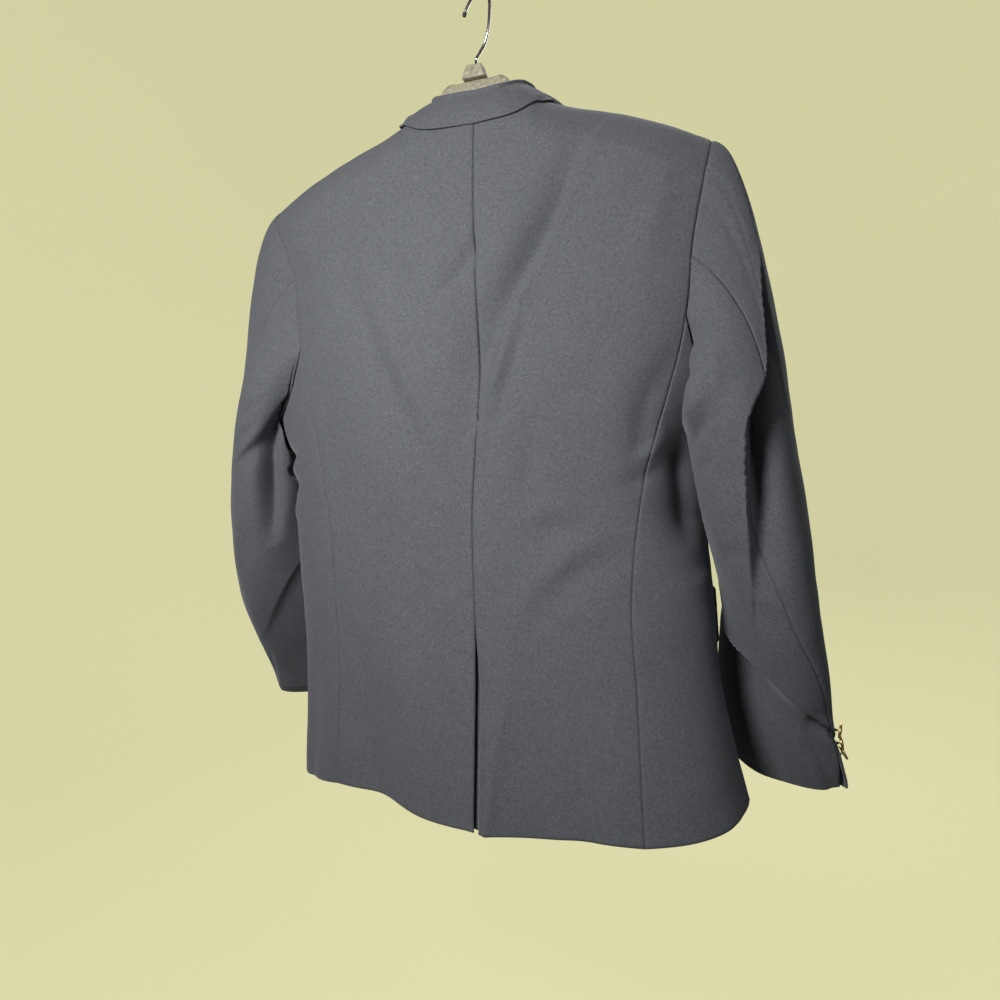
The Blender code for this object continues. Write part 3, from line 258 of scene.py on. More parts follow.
# Creases of the sleeves: the same for each side, with paths in degrees round the sleeve and in height.
# 0 is the outer side, 90 the back, 180 the side towards the body and 270 the front.
SLEEVE_CREASES = (
    (RIGHT, "cliff", 0.026, (-0.002, -0.03, -0.008),
     ((118, -0.606), (98, -0.565), (87, -0.531), (74, -0.493), (52, -0.443), (42, -0.418),
      (28, -0.383), (11, -0.34), (-8, -0.3))),
    (RIGHT, "fold", 0.018, (0, 0.0055, 0),
     ((96, -0.531), (84, -0.493), (63, -0.443), (52, -0.418), (40, -0.383), (26, -0.34))),
    (RIGHT, "fold", 0.022, (0, 0.013, 0), ((100, -0.375), (109, -0.425), (134, -0.48))),
    (RIGHT, "cliff", 0.05, (-0.008, -0.017, -0.005),
     ((196, -0.62), (183, -0.648), (173, -0.663), (149, -0.677), (120, -0.713), (110, -0.722))),
    (RIGHT, "step", 0.014, (0, -0.005, -0.003),
     ((66, -0.733), (98, -0.747), (92, -0.78), (84, -0.83))),
    (RIGHT, "fold", 0.005, (0, -0.0032, 0), ((142, -0.437), (115, -0.425), (88, -0.41))),
    (RIGHT, "fold", 0.006, (0, 0.0022, 0), ((144, -0.424), (118, -0.41), (92, -0.396))),
    (RIGHT, "fold", 0.005, (0, -0.0032, 0), ((134, -0.49), (112, -0.476), (92, -0.462))),
    (RIGHT, "fold", 0.0075, (0, 0.0026, 0), ((140, -0.474), (116, -0.458), (92, -0.44))),
    (RIGHT, "fold", 0.006, (0, -0.0026, 0), ((146, -0.52), (124, -0.505), (104, -0.5))),
    (RIGHT, "fold", 0.007, (0, -0.003, 0), ((150, -0.59), (128, -0.575), (104, -0.572))),
    (RIGHT, "fold", 0.012, (0, 0.003, 0), ((74, -0.205), (70, -0.25), (66, -0.32))),
    (RIGHT, "fold", 0.011, (0, -0.0034, 0), ((96, -0.215), (92, -0.27), (90, -0.33))),
    (RIGHT, "fold", 0.01, (0, -0.003, 0), ((46, -0.2), (42, -0.25), (36, -0.3))),
    (RIGHT, "fold", 0.016, (0, -0.009, 0), ((300, -0.56), (275, -0.6), (250, -0.64))),
    (RIGHT, "fold", 0.012, (0, 0.005, 0), ((310, -0.6), (275, -0.64), (246, -0.69))),
    (RIGHT, "fold", 0.011, (0, -0.004, 0), ((340, -0.48), (310, -0.52), (280, -0.53))),
    (LEFT, "cliff", 0.022, (-0.004, -0.012, -0.0006),
     ((158, -0.372), (138, -0.396), (128, -0.42), (119, -0.441), (108, -0.46), (92, -0.476),
      (74, -0.492))),
    (LEFT, "fold", 0.0105, (-0.006, -0.025, 0),
     ((128, -0.432), (119, -0.466), (124, -0.5), (134, -0.54), (142, -0.58))),
    (LEFT, "fold", 0.012, (0, 0.005, 0),
     ((156, -0.455), (147, -0.49), (153, -0.53), (150, -0.59))),
    (LEFT, "cliff", 0.026, (-0.001, -0.0034, -0.0004),
     ((186, -0.592), (172, -0.603), (160, -0.619), (143, -0.644), (128, -0.668), (112, -0.684))),
    (LEFT, "fold", 0.0055, (0, -0.003, 0), ((62, -0.476), (84, -0.462), (104, -0.444))),
    (LEFT, "fold", 0.005, (0, -0.002, 0), ((64, -0.448), (84, -0.436), (104, -0.422))),
    (LEFT, "fold", 0.006, (0, -0.002, 0), ((76, -0.33), (92, -0.318), (116, -0.312))),
    (LEFT, "fold", 0.01, (0, 0.003, 0), ((96, -0.52), (92, -0.57), (84, -0.62))),
    (LEFT, "fold", 0.009, (0, -0.004, 0), ((118, -0.7), (104, -0.74), (98, -0.78))),
    (LEFT, "fold", 0.016, (0, -0.009, 0), ((300, -0.56), (275, -0.6), (250, -0.64))),
    (LEFT, "fold", 0.012, (0, 0.005, 0), ((310, -0.6), (275, -0.64), (246, -0.69))),
    (LEFT, "fold", 0.011, (0, -0.004, 0), ((350, -0.47), (320, -0.51), (285, -0.52))),
)
VENT_LENGTH, VENT_FLARE, VENT_ANGLE = 0.040, 0.006, 22  # the open foot of the elbow seam

# The forms of a cliff and an edge, in shares of their depth and width.
CLIFF_DROP, CLIFF_SHARPNESS = 1.6, 5.5
CLIFF_LIP, CLIFF_LIP_FALL = 0.22, 3.5
EDGE_CREST = 0.12

LAPEL_ROWS, LAPEL_COLUMNS, ROLL_STEPS = 90, 44, 12
LAPEL_WIDTH, LAPEL_FOOT_WIDTH = 0.086, {RIGHT: 0.020, LEFT: 0.006}
GORGE = -0.178
LAPEL_PEAK = -0.242
LAPEL_FOOT = {RIGHT: -0.420, LEFT: -0.526}
LAPEL_ROLL, LAPEL_SETTLE = 0.0027, 0.020

COLLAR_STATIONS, COLLAR_ROWS = 70, 46
COLLAR_WALL = 0.0016
COLLAR_CLEARANCE = 0.0026
COLLAR_EDGE_GAP = 0.0009
COLLAR_NECK = 0.076  # the side of the neck in the collar's table
ROLL_RADIUS = 0.0030
NECK_SLACK, RIDGE_REACH = 0.006, 0.007
# From the centre back to the notch: where the neck seam, the roll line and the leaf's edge run.
COLLAR_COLUMNS = ("seam_x", "seam_y", "seam_z", "roll_x", "roll_y", "roll_z", "edge_x", "edge_z")
COLLAR = (
    (0, 0.04, -0.145, 0, 0.0345, -0.123, 0, -0.162),
    (0.038, 0.033, -0.139, 0.03, 0.031, -0.119, 0.05, -0.157),
    (0.074, 0.002, -0.1255, 0.052, 0, -0.105, 0.09, -0.1345),
    (0.066, -0.028, -0.14, 0.056, -0.026, -0.124, 0.106, -0.166),
    (0.056, -0.052, -0.166, 0.051, -0.054, -0.156, 0.112, -0.2),
)
FLAP_TOP, FLAP_FOOT = -0.618, -0.678
FLAP_REAR, FLAP_FRONT = 98, 152  # degrees round the body's section
FLAP_SLOPE, FLAP_CORNER = 0.006, 0.008

FRONT_BUTTON_RADIUS, CUFF_BUTTON_RADIUS = 0.0105, 0.0070
BUTTON_GAP = 0.0002


def smooth(knots, values, at):
    """A smooth curve through the values at the knots, read at each place."""
    knots = np.asarray(knots, float)
    values = np.asarray(values, float)
    at = np.clip(np.asarray(at, float), knots[0], knots[-1])
    steps = np.diff(knots)
    slopes = np.diff(values) / steps
    tangents = np.empty_like(values)
    tangents[0], tangents[-1] = slopes[0], slopes[-1]
    tangents[1:-1] = (slopes[:-1] * steps[1:] + slopes[1:] * steps[:-1]) / (steps[1:] + steps[:-1])
    left = np.clip(np.searchsorted(knots, at, side="right") - 1, 0, len(steps) - 1)
    t = (at - knots[left]) / steps[left]
    return (
        (2 * t**3 - 3 * t**2 + 1) * values[left]
        + (t**3 - 2 * t**2 + t) * steps[left] * tangents[left]
        + (3 * t**2 - 2 * t**3) * values[left + 1]
        + (t**3 - t**2) * steps[left] * tangents[left + 1]
    )


def read_table(rows, column, at):
    """A column of a table, read at each place along its first column."""
    return smooth([row[0] for row in rows], [row[column] for row in rows], at)


def smooth_path(places, steps):
    """Points on a smooth curve through a few places."""
    places = np.array(places, float)
    at = np.linspace(0, len(places) - 1, steps * (len(places) - 1) + 1)
    axes = range(places.shape[1])
    return np.stack([smooth(range(len(places)), places[:, axis], at) for axis in axes], axis=1)


def ease(t):
    t = np.clip(t, 0.0, 1.0)
    return t * t * (3 - 2 * t)


def signed_power(value, power):
    return np.sign(value) * np.abs(value) ** power


def edged(count, length, start=True, end=True):
    """Shares along a length: even, and closer together beside the ends."""
    near = np.array(EDGE_STEPS) / length
    shares = np.linspace(0, 1, count + 1)
    if start:
        shares = np.concatenate([[0], near, shares[shares > near[-1] * 1.3]])
    if end:
        shares = np.concatenate([shares[shares < 1 - near[-1] * 1.3], 1 - near[::-1], [1]])
    return shares


def section(name, z):
    return read_table(SECTIONS, SECTION_COLUMNS.index(name), z)


def centre(z):
    return read_table(CENTRE, 1, z)


def reach(side, z):
    return np.abs(section(SIDE_NAME[side], z) - centre(z))


def seam_angle(side, z, front):
    """Where a side seam lies on the section, from 0 at the centre back to pi at the centre front."""
    name = ("fore_" if front else "seam_") + SIDE_NAME[side]
    share = np.abs(section(name, z) - centre(z)) / reach(side, z)
    angle = np.arcsin(np.clip(share, 0, 1) ** (BODY_POWER / 2))
    return np.pi - angle if front else angle


def beside(path, across, z):
    """How far along a path the nearest point lies, from 0 to 1, and how far to the path's left."""
    route = smooth_path(path, 6)
    steps = np.diff(route, axis=0)
    lengths = np.hypot(steps[:, 0], steps[:, 1])
    starts = np.concatenate([[0], np.cumsum(lengths)])
    nearest = np.full(across.shape, np.inf)
    along = np.zeros(across.shape)
    left = np.zeros(across.shape)
    for (x, y), (dx, dz), length, start in zip(route, steps, lengths, starts):
        t = np.clip(((across - x) * dx + (z - y) * dz) / length**2, 0, 1)
        off_x, off_z = across - x - t * dx, z - y - t * dz
        distance = np.hypot(off_x, off_z)
        closer = distance < nearest
        nearest = np.where(closer, distance, nearest)
        along = np.where(closer, (start + t * length) / starts[-1], along)
        left = np.where(closer, np.sign(dx * off_z - dz * off_x) * distance, left)
    return along, left


def crease(kind, width, depths, path, across, z):
    """The height of one crease over the cloth round it."""
    along, away = beside(path, across, z)
    depth = smooth((0, 0.5, 1), depths, along)
    if kind == "step":
        share = away / width
        return depth * share * np.exp(0.5 - 0.5 * share**2)
    if kind == "edge":
        crest = EDGE_CREST * width
        return depth * np.exp((crest - np.hypot(away, crest)) / width)
    if kind == "cliff":
        share = away / width
        drop = CLIFF_DROP * (1 - np.exp(-CLIFF_SHARPNESS * np.maximum(share, 0))) * np.exp(-(share**2))
        lip = -CLIFF_LIP * np.exp(CLIFF_LIP_FALL * np.minimum(share, 0))
        return depth * np.where(share > 0, drop, lip)
    return depth * np.exp(-((away / width) ** 2))


def bend(face, across, z):
    """How far the skin stands out of its smooth section."""
    total = np.zeros_like(z)
    for where, kind, width, depths, path in CREASES:
        if where == face:
            total += crease(kind, width, depths, path, across, z)
    return total


def shoulder_height(x):
    return read_table(SHOULDER, 1, np.abs(x))


def skin(side, angle, z, x=None):
    """Points of the body's skin at an angle round the section, or at x where that is given, and a height."""
    middle = centre(z)
    half = reach(side, z)
    if x is None:
        share = signed_power(np.sin(angle), 2 / BODY_POWER)
        x = middle + side * half * share
    else:
        share = np.abs(x - middle) / half
    front = angle > np.pi / 2
    bow = np.clip(1 - np.abs(share) ** BODY_POWER, 0, 1) ** (1 / BODY_POWER)
    depth = np.where(front, section("front", z), section("back", z)) - BODY_MIDDLE_Y
    y = BODY_MIDDLE_Y + depth * bow + section("turn", z) * (x - middle)
    out_x = side * np.abs(share) ** (BODY_POWER - 1) / half * np.sign(share + 1e-9)
    out_y = bow ** (BODY_POWER - 1) / depth
    length = np.hypot(out_x, out_y)
    out_x, out_y = out_x / length, out_y / length
    face_weight = ease(3 * bow)
    lift = face_weight * np.where(front, bend("front", x, z), bend("back", x, z))
    lift = lift + ease(3 * np.abs(share) - 2) * bend("side_" + SIDE_NAME[side], y, z)
    return np.stack([x + lift * out_x, y + lift * out_y, z + 0 * x], axis=-1)


def top_line(side, front, x):
    """The body's upper edge over each x: its height, its place fore and aft, and how far down it rounds."""
    z = shoulder_height(x)
    y = 0 * x
    roll = SHOULDER_ROLL + 0 * x
    if not front:
        nape_x = centre(NAPE)
        to_neck = np.clip((x - nape_x) / (NECK_SIDE_X[side] - nape_x), 0, 1)
        in_neck = np.abs(x) < abs(NECK_SIDE_X[side])
        z = np.where(in_neck, NAPE + (shoulder_height(NECK_SIDE_X[side]) - NAPE) * to_neck**2, z)
        y = np.where(in_neck, NAPE_Y * np.sqrt(1 - to_neck**2.2), y)
        roll = NAPE_ROLL + (SHOULDER_ROLL - NAPE_ROLL) * to_neck**2
    return z, y, roll


def surface(side, front, x, z):
    """The finished skin over a place across and a height, brought over to the shoulder line at its top."""
    angle = np.where(front, np.pi, 0.0) + 0 * x
    points = skin(side, angle, z, x)
    top_z, top_y, roll = top_line(side, front, x)
    t = np.clip(1 - (top_z - z) / roll, 0, 1)
    points[..., 1] = top_y + (points[..., 1] - top_y) * (1 - t**ROLL_POWER) ** (1 / ROLL_POWER)
    return points


def open_vent(side, x, z, column):
    """Moves the right half's vent edge away from the left one's."""
    if side == LEFT:
        return x
    return x - VENT_SPREAD * ease((VENT_TOP - z) / VENT_FADE) * np.clip(1 - 5 * column, 0, 1)


LOW_SHARES = edged(LOW_ROWS, 0.48)
HIGH_SHARES = 1 - (1 - np.linspace(0, 1, HIGH_ROWS + 1)) ** 1.5


def back_hem(side, column):
    """The back's hem, which rises a little towards each side."""
    return HEM + BACK_HEM_RISE[side] * ease(1.6 * column)


def front_hem(side, column):
    """The front's hem, a step off the back's: it dips a little and rounds up at the free corner."""
    start = back_hem(side, 1.0) + FRONT_HEM_STEP[side]
    dip = (HEM - FRONT_DIP - start) * ease(1.3 * column)
    return start + dip + FRONT_CORNER_RISE * np.clip(2 * column - 1, 0, 1) ** 2.4


def back_panel(side):
    shares = edged(BACK_COLUMNS, 0.20)
    row, column = np.meshgrid(LOW_SHARES, shares, indexing="ij")
    hem = back_hem(side, column)
    z = hem + (BACK_JUNCTION - hem) * row
    share = signed_power(np.sin(column * seam_angle(side, z, False)), 2 / BODY_POWER)
    x = open_vent(side, centre(z) + side * reach(side, z) * share, z, column)
    low = surface(side, False, x, z)

    share = HIGH_SHARES[1:, None]
    column = shares[None, :]
    x_nape = centre(NAPE)
    x_top = np.where(
        column < NECK_SHARE,
        x_nape + (NECK_SIDE_X[side] - x_nape) * column / NECK_SHARE,
        NECK_SIDE_X[side]
        + (SHOULDER_TIP_X[side] - NECK_SIDE_X[side]) * (column - NECK_SHARE) / (1 - NECK_SHARE),
    )
    z_top = top_line(side, False, x_top)[0]
    z = BACK_JUNCTION + (z_top - BACK_JUNCTION) * share
    edge_z = BACK_JUNCTION + (z_top[:, -1:] - BACK_JUNCTION) * share
    edge_x = section("seam_" + SIDE_NAME[side], edge_z)
    angle = seam_angle(side, edge_z, False)
    even = signed_power(np.sin(column * angle) / np.sin(angle), 2 / BODY_POWER)
    x_low = centre(z) + (edge_x - centre(z)) * even
    x = x_low + (x_top - x_low) * share**3
    return np.concatenate([low, surface(side, False, x, z)])


def vent_underlap():
    """The right half's turned strip, which lies under the left half below the vent's top."""
    row, column = np.meshgrid(edged(60, 0.2), edged(12, 0.032), indexing="ij")
    z = HEM + 0.001 + (VENT_TOP + 0.001 - HEM) * row
    x = centre(z) - VENT_SPREAD - 0.001 + UNDERLAP_WIDTH * column
    points = surface(RIGHT, False, x, z)
    beyond = x > centre(z)
    points[beyond] = surface(LEFT, False, x, z)[beyond]
    return points


def front_edge(side, z):
    """x of the front's free edge: cut away at the foot, straight to the break, then the roll line."""
    middle = centre(z)
    straight = middle - side * FRONT_OVERLAP
    down = np.clip((LOW_BUTTON - z) / (LOW_BUTTON - HEM), 0, 1)
    straight = straight + side * FRONT_CUTAWAY * down**1.8
    up = np.clip((z - BREAK) / (shoulder_height(NECK_SIDE_X[side]) - BREAK), 0, 1)
    rolled = straight + (NECK_SIDE_X[side] - straight) * (0.85 * up + 0.15 * up**3)
    return np.where(z > BREAK, rolled, straight)


def overlapping(z):
    """1 where the left front lies over the right one, 0 above the crossing of the roll lines."""
    return ease((BREAK + OVERLAP_REACH - z) / OVERLAP_FADE)


def front_panel(side):
    shares = edged(FRONT_COLUMNS, 0.20)
    row, column = np.meshgrid(LOW_SHARES, shares, indexing="ij")
    hem = front_hem(side, column)
    z = hem + (FRONT_JUNCTION - hem) * row
    share = signed_power(np.sin(seam_angle(side, z, True)), 2 / BODY_POWER)
    x_side = centre(z) + side * reach(side, z) * share
    x = x_side + (front_edge(side, z) - x_side) * column
    low = surface(side, True, x, z)

    share = HIGH_SHARES[1:, None]
    column = shares[None, :]
    x_top = SHOULDER_TIP_X[side] + (NECK_SIDE_X[side] - SHOULDER_TIP_X[side]) * column
    z_top = shoulder_height(x_top)
    z = FRONT_JUNCTION + (z_top - FRONT_JUNCTION) * share
    edge_z = FRONT_JUNCTION + (z_top[:, :1] - FRONT_JUNCTION) * share
    x_side = section("fore_" + SIDE_NAME[side], edge_z)
    x_low = x_side + (front_edge(side, z) - x_side) * column
    x = x_low + (x_top - x_low) * share**3
    panel = np.concatenate([low, surface(side, True, x, z)])
    if side == LEFT:
        near_edge = ease(1 - np.abs(panel[..., 0] - front_edge(side, panel[..., 2])) / LIFT_WIDTH)
        panel[..., 1] -= OVERLAP_LIFT * near_edge * overlapping(panel[..., 2])
    return panel


def side_panel(side):
    row, column = np.meshgrid(LOW_SHARES, edged(SIDE_COLUMNS, 0.10), indexing="ij")
    hem = back_hem(side, 1.0) + (front_hem(side, 0.0) - back_hem(side, 1.0)) * column
    top = BACK_JUNCTION + (FRONT_JUNCTION - BACK_JUNCTION) * column
    middle_top = 0.5 * (BACK_JUNCTION + FRONT_JUNCTION)
    top = top + (UNDERARM - middle_top) * np.sin(np.pi * column) ** 0.8
    z = hem + (top - hem) * row
    start, end = seam_angle(side, z, False), seam_angle(side, z, True)
    return skin(side, start + (end - start) * column, z)


def arc_shares(points):
    steps = np.linalg.norm(np.diff(points, axis=0), axis=1)
    return np.concatenate([[0], np.cumsum(steps)]) / steps.sum()


def body_side(side, y, z):
    """How far out the body reaches at a place fore and aft and a height."""
    depth = np.where(y > BODY_MIDDLE_Y, section("back", z), section("front", z)) - BODY_MIDDLE_Y
    bow = np.clip(np.abs((y - BODY_MIDDLE_Y) / depth), 0, 1)
    smooth_side = side * centre(z) + reach(side, z) * (1 - bow**BODY_POWER) ** (1 / BODY_POWER)
    return smooth_side + BULGE_ROOM * np.maximum(bend("side_" + SIDE_NAME[side], y, z), 0)


def sleeve_bend(side, angle, z):
    """How far the sleeve stands out of its smooth section."""
    total = np.zeros_like(z)
    for which, kind, width, depths, path in SLEEVE_CREASES:
        if which == side:
            route = [(SLEEVE_GIRTH * math.radians(degrees), height) for degrees, height in path]
            total += crease(kind, width, depths, route, SLEEVE_GIRTH * angle, z)
    return total


def sleeve_column(side, name, z):
    return read_table(SLEEVES[side][::-1], SLEEVE_COLUMNS.index(name), z)


def sleeve_panels(panels, side):
    """The top and the under sleeve, as rings from the armhole to the cuff, parted at the two seams."""
    name = SIDE_NAME[side]
    high = len(LOW_SHARES) - 1
    back = panels["back_" + name][high:, -1][::-1]
    under = panels["side_" + name][-1]
    front = panels["front_" + name][high:, 0]
    closed = np.concatenate([back, under[1:-1], front, back[:1]])
    share = arc_shares(closed)
    elbow = np.interp(-ELBOW_SEAM_START[side], -back[:, 2], share[: len(back)])
    first_front = len(back) + len(under) - 2
    forearm = np.interp(FOREARM_SEAM_START, front[:, 2], share[first_front : first_front + len(front)])
    bottom = share[len(back) - 1 + len(under) // 2]
    runs = {
        "under_sleeve_": elbow + (forearm - elbow) * edged(UNDER_COLUMNS, 0.17),
        "top_sleeve_": forearm + (1 + elbow - forearm) * edged(TOP_COLUMNS, 0.27),
    }
    marks = (bottom, elbow, forearm)
    for kind, run in runs.items():
        panels[kind + name] = sleeve_rings(side, closed, share, run % 1.0, marks, kind == "top_sleeve_")
    return panels


def sleeve_rings(side, closed, share, places, marks, is_top):
    """One panel of a sleeve: the cap's rings from the armhole, then the rings down to the cuff."""
    bottom, elbow, forearm = marks
    start = np.stack([np.interp(places, share, closed[:, axis]) for axis in range(3)], axis=1)
    natural_knots, natural_turns = [0, bottom, 1], [0, 180, 360]
    natural = np.interp(places, natural_knots, natural_turns)
    natural_seams = np.interp([elbow, forearm], natural_knots, natural_turns)

    top, cuff = SLEEVES[side][0][0], SLEEVES[side][-1][0]
    rings = []
    turns = []
    plain = []  # the first two rings without their folds
    for z in top + (cuff - top) * edged(SLEEVE_ROWS, 0.35, start=False):
        settled = ease((top - z) / SETTLE_LENGTH)
        middle_x, middle_y = sleeve_column(side, "x", z), sleeve_column(side, "y", z)
        seam_1, seam_2 = sleeve_column(side, "elbow", z), sleeve_column(side, "forearm", z)
        spread = np.interp(places, [0, elbow, forearm, 1], [0, seam_1, seam_2, 360])
        held = np.interp(natural, [0, *natural_seams, 360], [0, seam_1, seam_2, 360])
        angle = np.radians(held + (spread - held) * settled)
        turn = math.radians(sleeve_column(side, "turn", z))
        long_way = sleeve_column(side, "long", z) * signed_power(np.sin(angle), SLEEVE_POWER)
        short_way = sleeve_column(side, "short", z) * signed_power(np.cos(angle), SLEEVE_POWER)
        off_x = side * (long_way * math.sin(turn) + short_way * math.cos(turn))
        off_y = long_way * math.cos(turn) - short_way * math.sin(turn)
        slope_x, slope_y = (
            (sleeve_column(side, axis, z - SLOPE_STEP) - sleeve_column(side, axis, z + SLOPE_STEP))
            / (2 * SLOPE_STEP)
            for axis in "xy"
        )
        tilt = ease((top - z) / TILT_LENGTH)
        rising = ease((top - z - CUFF_RISE_START) / (top - cuff - CUFF_RISE_START))
        rise = CUFF_RISE * rising * ease(-np.sin(angle))
        if len(plain) < 2:
            level = z + tilt * (slope_x * off_x + slope_y * off_y)
            plain.append(np.stack([middle_x + off_x, middle_y + off_y, level], axis=1))
        swell = 1 + sleeve_bend(side, angle, z + 0 * angle) / np.hypot(off_x, off_y)
        if is_top:
            open_foot = ease((z - cuff - VENT_LENGTH) / -VENT_LENGTH)
            near_seam = np.clip(1 - np.abs(np.degrees(angle) - seam_1) / VENT_ANGLE, 0, 1)
            swell = swell + VENT_FLARE * open_foot * ease(near_seam) / np.hypot(off_x, off_y)
        off_x, off_y = off_x * swell, off_y * swell
        x, y = middle_x + off_x, middle_y + off_y
        level = z + tilt * (slope_x * off_x + slope_y * off_y) + rise
        clear = body_side(side, y, level) + SLEEVE_CLEARANCE
        x = side * np.maximum(side * x, clear)
        rings.append(np.stack([x, y, level], axis=-1))
        turns.append(angle)

    low = np.array(rings)
    span = np.linalg.norm(plain[0] - start, axis=1)[:, None]
    over = 0.5 + 0.5 * np.cos(np.radians(natural))[:, None]
    outward = np.concatenate([side + 0 * over, 0 * over, -0.35 * over - 1.2 * (1 - over)], axis=1)
    outward /= np.linalg.norm(outward, axis=1)[:, None]
    down = plain[0] - plain[1]
    down /= np.linalg.norm(down, axis=1)[:, None]
    first = start + outward * span * CAP_OUT
    second = plain[0] + down * span * CAP_DOWN
    cap = []
    for t in edged(CAP_ROWS, 0.18, end=False)[:-1]:
        ring = (1 - t) ** 3 * start + 3 * (1 - t) ** 2 * t * first
        ring += 3 * (1 - t) * t**2 * second + t**3 * plain[0]
        middle_x, middle_y = sleeve_column(side, "x", ring[:, 2]), sleeve_column(side, "y", ring[:, 2])
        off_x, off_y = ring[:, 0] - middle_x, ring[:, 1] - middle_y
        lift = sleeve_bend(side, turns[0], ring[:, 2]) / np.hypot(off_x, off_y)
        ring[:, 0] += off_x * lift * ease(3 * t)
        ring[:, 1] += off_y * lift * ease(3 * t)
        near_arm = ease((UNDERARM + UNDER_CAP - ring[:, 2]) / UNDER_CAP_FADE) * ease(5 * t)
        clear = body_side(side, ring[:, 1], ring[:, 2]) + SLEEVE_CLEARANCE
        ring[:, 0] += side * near_arm * np.maximum(clear - side * ring[:, 0], 0)
        cap.append(ring)
    return np.concatenate([np.array(cap), low])


def lapel(side):
    """The lapel: the front's cloth rolls over its edge and lies back on it, from the break to the gorge."""
    roll = -np.linspace(1, 0, ROLL_STEPS + 1)[:-1]  # below 0 on the roll, then from 0 to 1 over the leaf
    places = np.concatenate([roll, edged(LAPEL_COLUMNS, 0.086, start=False)])
    row, column = np.meshgrid(edged(LAPEL_ROWS, 0.30), places, indexing="ij")
    leaf = np.clip(column, 0, 1)
    run = leaf**1.3
    gorge_z = GORGE + (LAPEL_PEAK - GORGE) * run
    z = LAPEL_FOOT[side] + (gorge_z - LAPEL_FOOT[side]) * row
    start = LAPEL_FOOT_WIDTH[side]
    width = start + (LAPEL_WIDTH - start) * np.sin(np.pi / 2 * row) ** 0.9
    across = width * run
    points = surface(side, True, front_edge(side, z) + side * across, z)
    if side == LEFT:
        points[..., 1] -= OVERLAP_LIFT * overlapping(points[..., 2])
    settle = np.exp(-across / LAPEL_SETTLE)
    lying = CLOTH + LAY_GAP
    lift = lying + (2 * LAPEL_ROLL - lying) * settle
    over = np.pi * np.clip(-column, 0, 1)
    points[..., 0] -= side * LAPEL_ROLL * np.sin(over)
    points[..., 1] -= np.where(column < 0, LAPEL_ROLL * (1 + np.cos(over)), lift)
    return points


def off_the_body(side, points, gap):
    """Moves points that would enter the back or the front out of it, and up over the shoulder line."""
    x, y, z = (points[..., axis] for axis in range(3))
    back = surface(side, False, x, z - gap)[..., 1] + gap
    front = surface(side, True, x, z - gap)[..., 1] - gap
    shoulder = top_line(side, True, x)[0]
    neckline = top_line(side, False, x)[0]
    beside_neck = side * (x - NECK_SIDE_X[side]) > -NECK_SLACK
    on_front = side * (x - front_edge(side, z)) > -NECK_SLACK
    low = z < shoulder + gap
    on_ridge = beside_neck & (np.abs(y) < RIDGE_REACH) & low
    points[..., 2] = np.where(on_ridge, shoulder + gap, z)
    behind = (y >= 0) & ~on_ridge & (z < neckline + gap) & (beside_neck | (y > 0.6 * NAPE_Y))
    points[..., 1] = np.where(behind, np.maximum(y, back), points[..., 1])
    ahead = (y < 0) & ~on_ridge & low & on_front
    points[..., 1] = np.where(ahead, np.minimum(y, front), points[..., 1])
    return points


def calmed(rows):
    """The grid with stray points taken out of each row: every point is the median of five."""
    around = np.stack([np.roll(rows, shift, axis=1) for shift in (-2, -1, 0, 1, 2)])
    middle = np.median(around, axis=0)
    middle[:, :2], middle[:, -2:] = rows[:, :2], rows[:, -2:]
    return middle


def collar():
    """Stand, roll and leaf as one strip round the neck, from notch to notch. Rows go over the roll."""
    stations = np.linspace(0, len(COLLAR) - 1, COLLAR_STATIONS + 1)
    halves = []
    for side in (RIGHT, LEFT):
        place = {
            name: smooth(range(len(COLLAR)), [row[i] for row in COLLAR], stations)
            for i, name in enumerate(COLLAR_COLUMNS)
        }
        sideways = ease(stations / 2)
        shift = centre(NAPE) * (1 - sideways) + (NECK_SIDE_X[side] - side * COLLAR_NECK) * sideways
        seam, roll = (
            np.stack([side * place[line + "x"] + shift, place[line + "y"], place[line + "z"]], axis=-1)
            for line in ("seam_", "roll_")
        )
        edge_x, edge_z = side * place["edge_x"] + shift, place["edge_z"]
        on_back = surface(side, False, edge_x, edge_z)[:, 1]
        on_front = surface(side, True, edge_x, edge_z)[:, 1]
        over = COLLAR_WALL + COLLAR_EDGE_GAP
        ahead = ease((stations - 1.8) / 0.4)
        edge_y = (on_back + over) * (1 - ahead) + (on_front - over) * ahead
        edge = np.stack([edge_x, edge_y, edge_z + 0 * edge_x], axis=-1)
        out = edge - seam
        out[:, 2] = 0
        out /= np.linalg.norm(out, axis=1)[:, None]
        up = np.array([0.0, 0.0, 1.0])
        # Up the stand, over the roll and down the leaf.
        rows = [
            seam,
            0.5 * seam + 0.5 * roll - up * 0.002,
            roll - up * 0.004,
            roll - up * 0.001 + out * 0.0008,
            roll + out * ROLL_RADIUS + up * 0.0008,
            roll - up * 0.001 + out * (2 * ROLL_RADIUS - 0.0008),
            roll - up * 0.005 + out * 2 * ROLL_RADIUS,
        ]
        start = rows[-1]
        for t in (0.3, 0.6, 0.85, 1.0):
            bow = 0.003 * math.sin(math.pi * t)
            rows.append(start + (edge - start) * t + out * bow)
        rows = resampled(np.array(rows), np.linspace(0, len(rows) - 1, COLLAR_ROWS + 1))
        to_edge = ease(np.linspace(-1.2, 1, COLLAR_ROWS + 1))[:, None]
        clear = COLLAR_CLEARANCE + (COLLAR_EDGE_GAP - COLLAR_CLEARANCE) * to_edge
        halves.append(calmed(off_the_body(side, rows, COLLAR_WALL + clear)))
    right, left = halves
    return np.concatenate([right[:, :0:-1], left], axis=1)


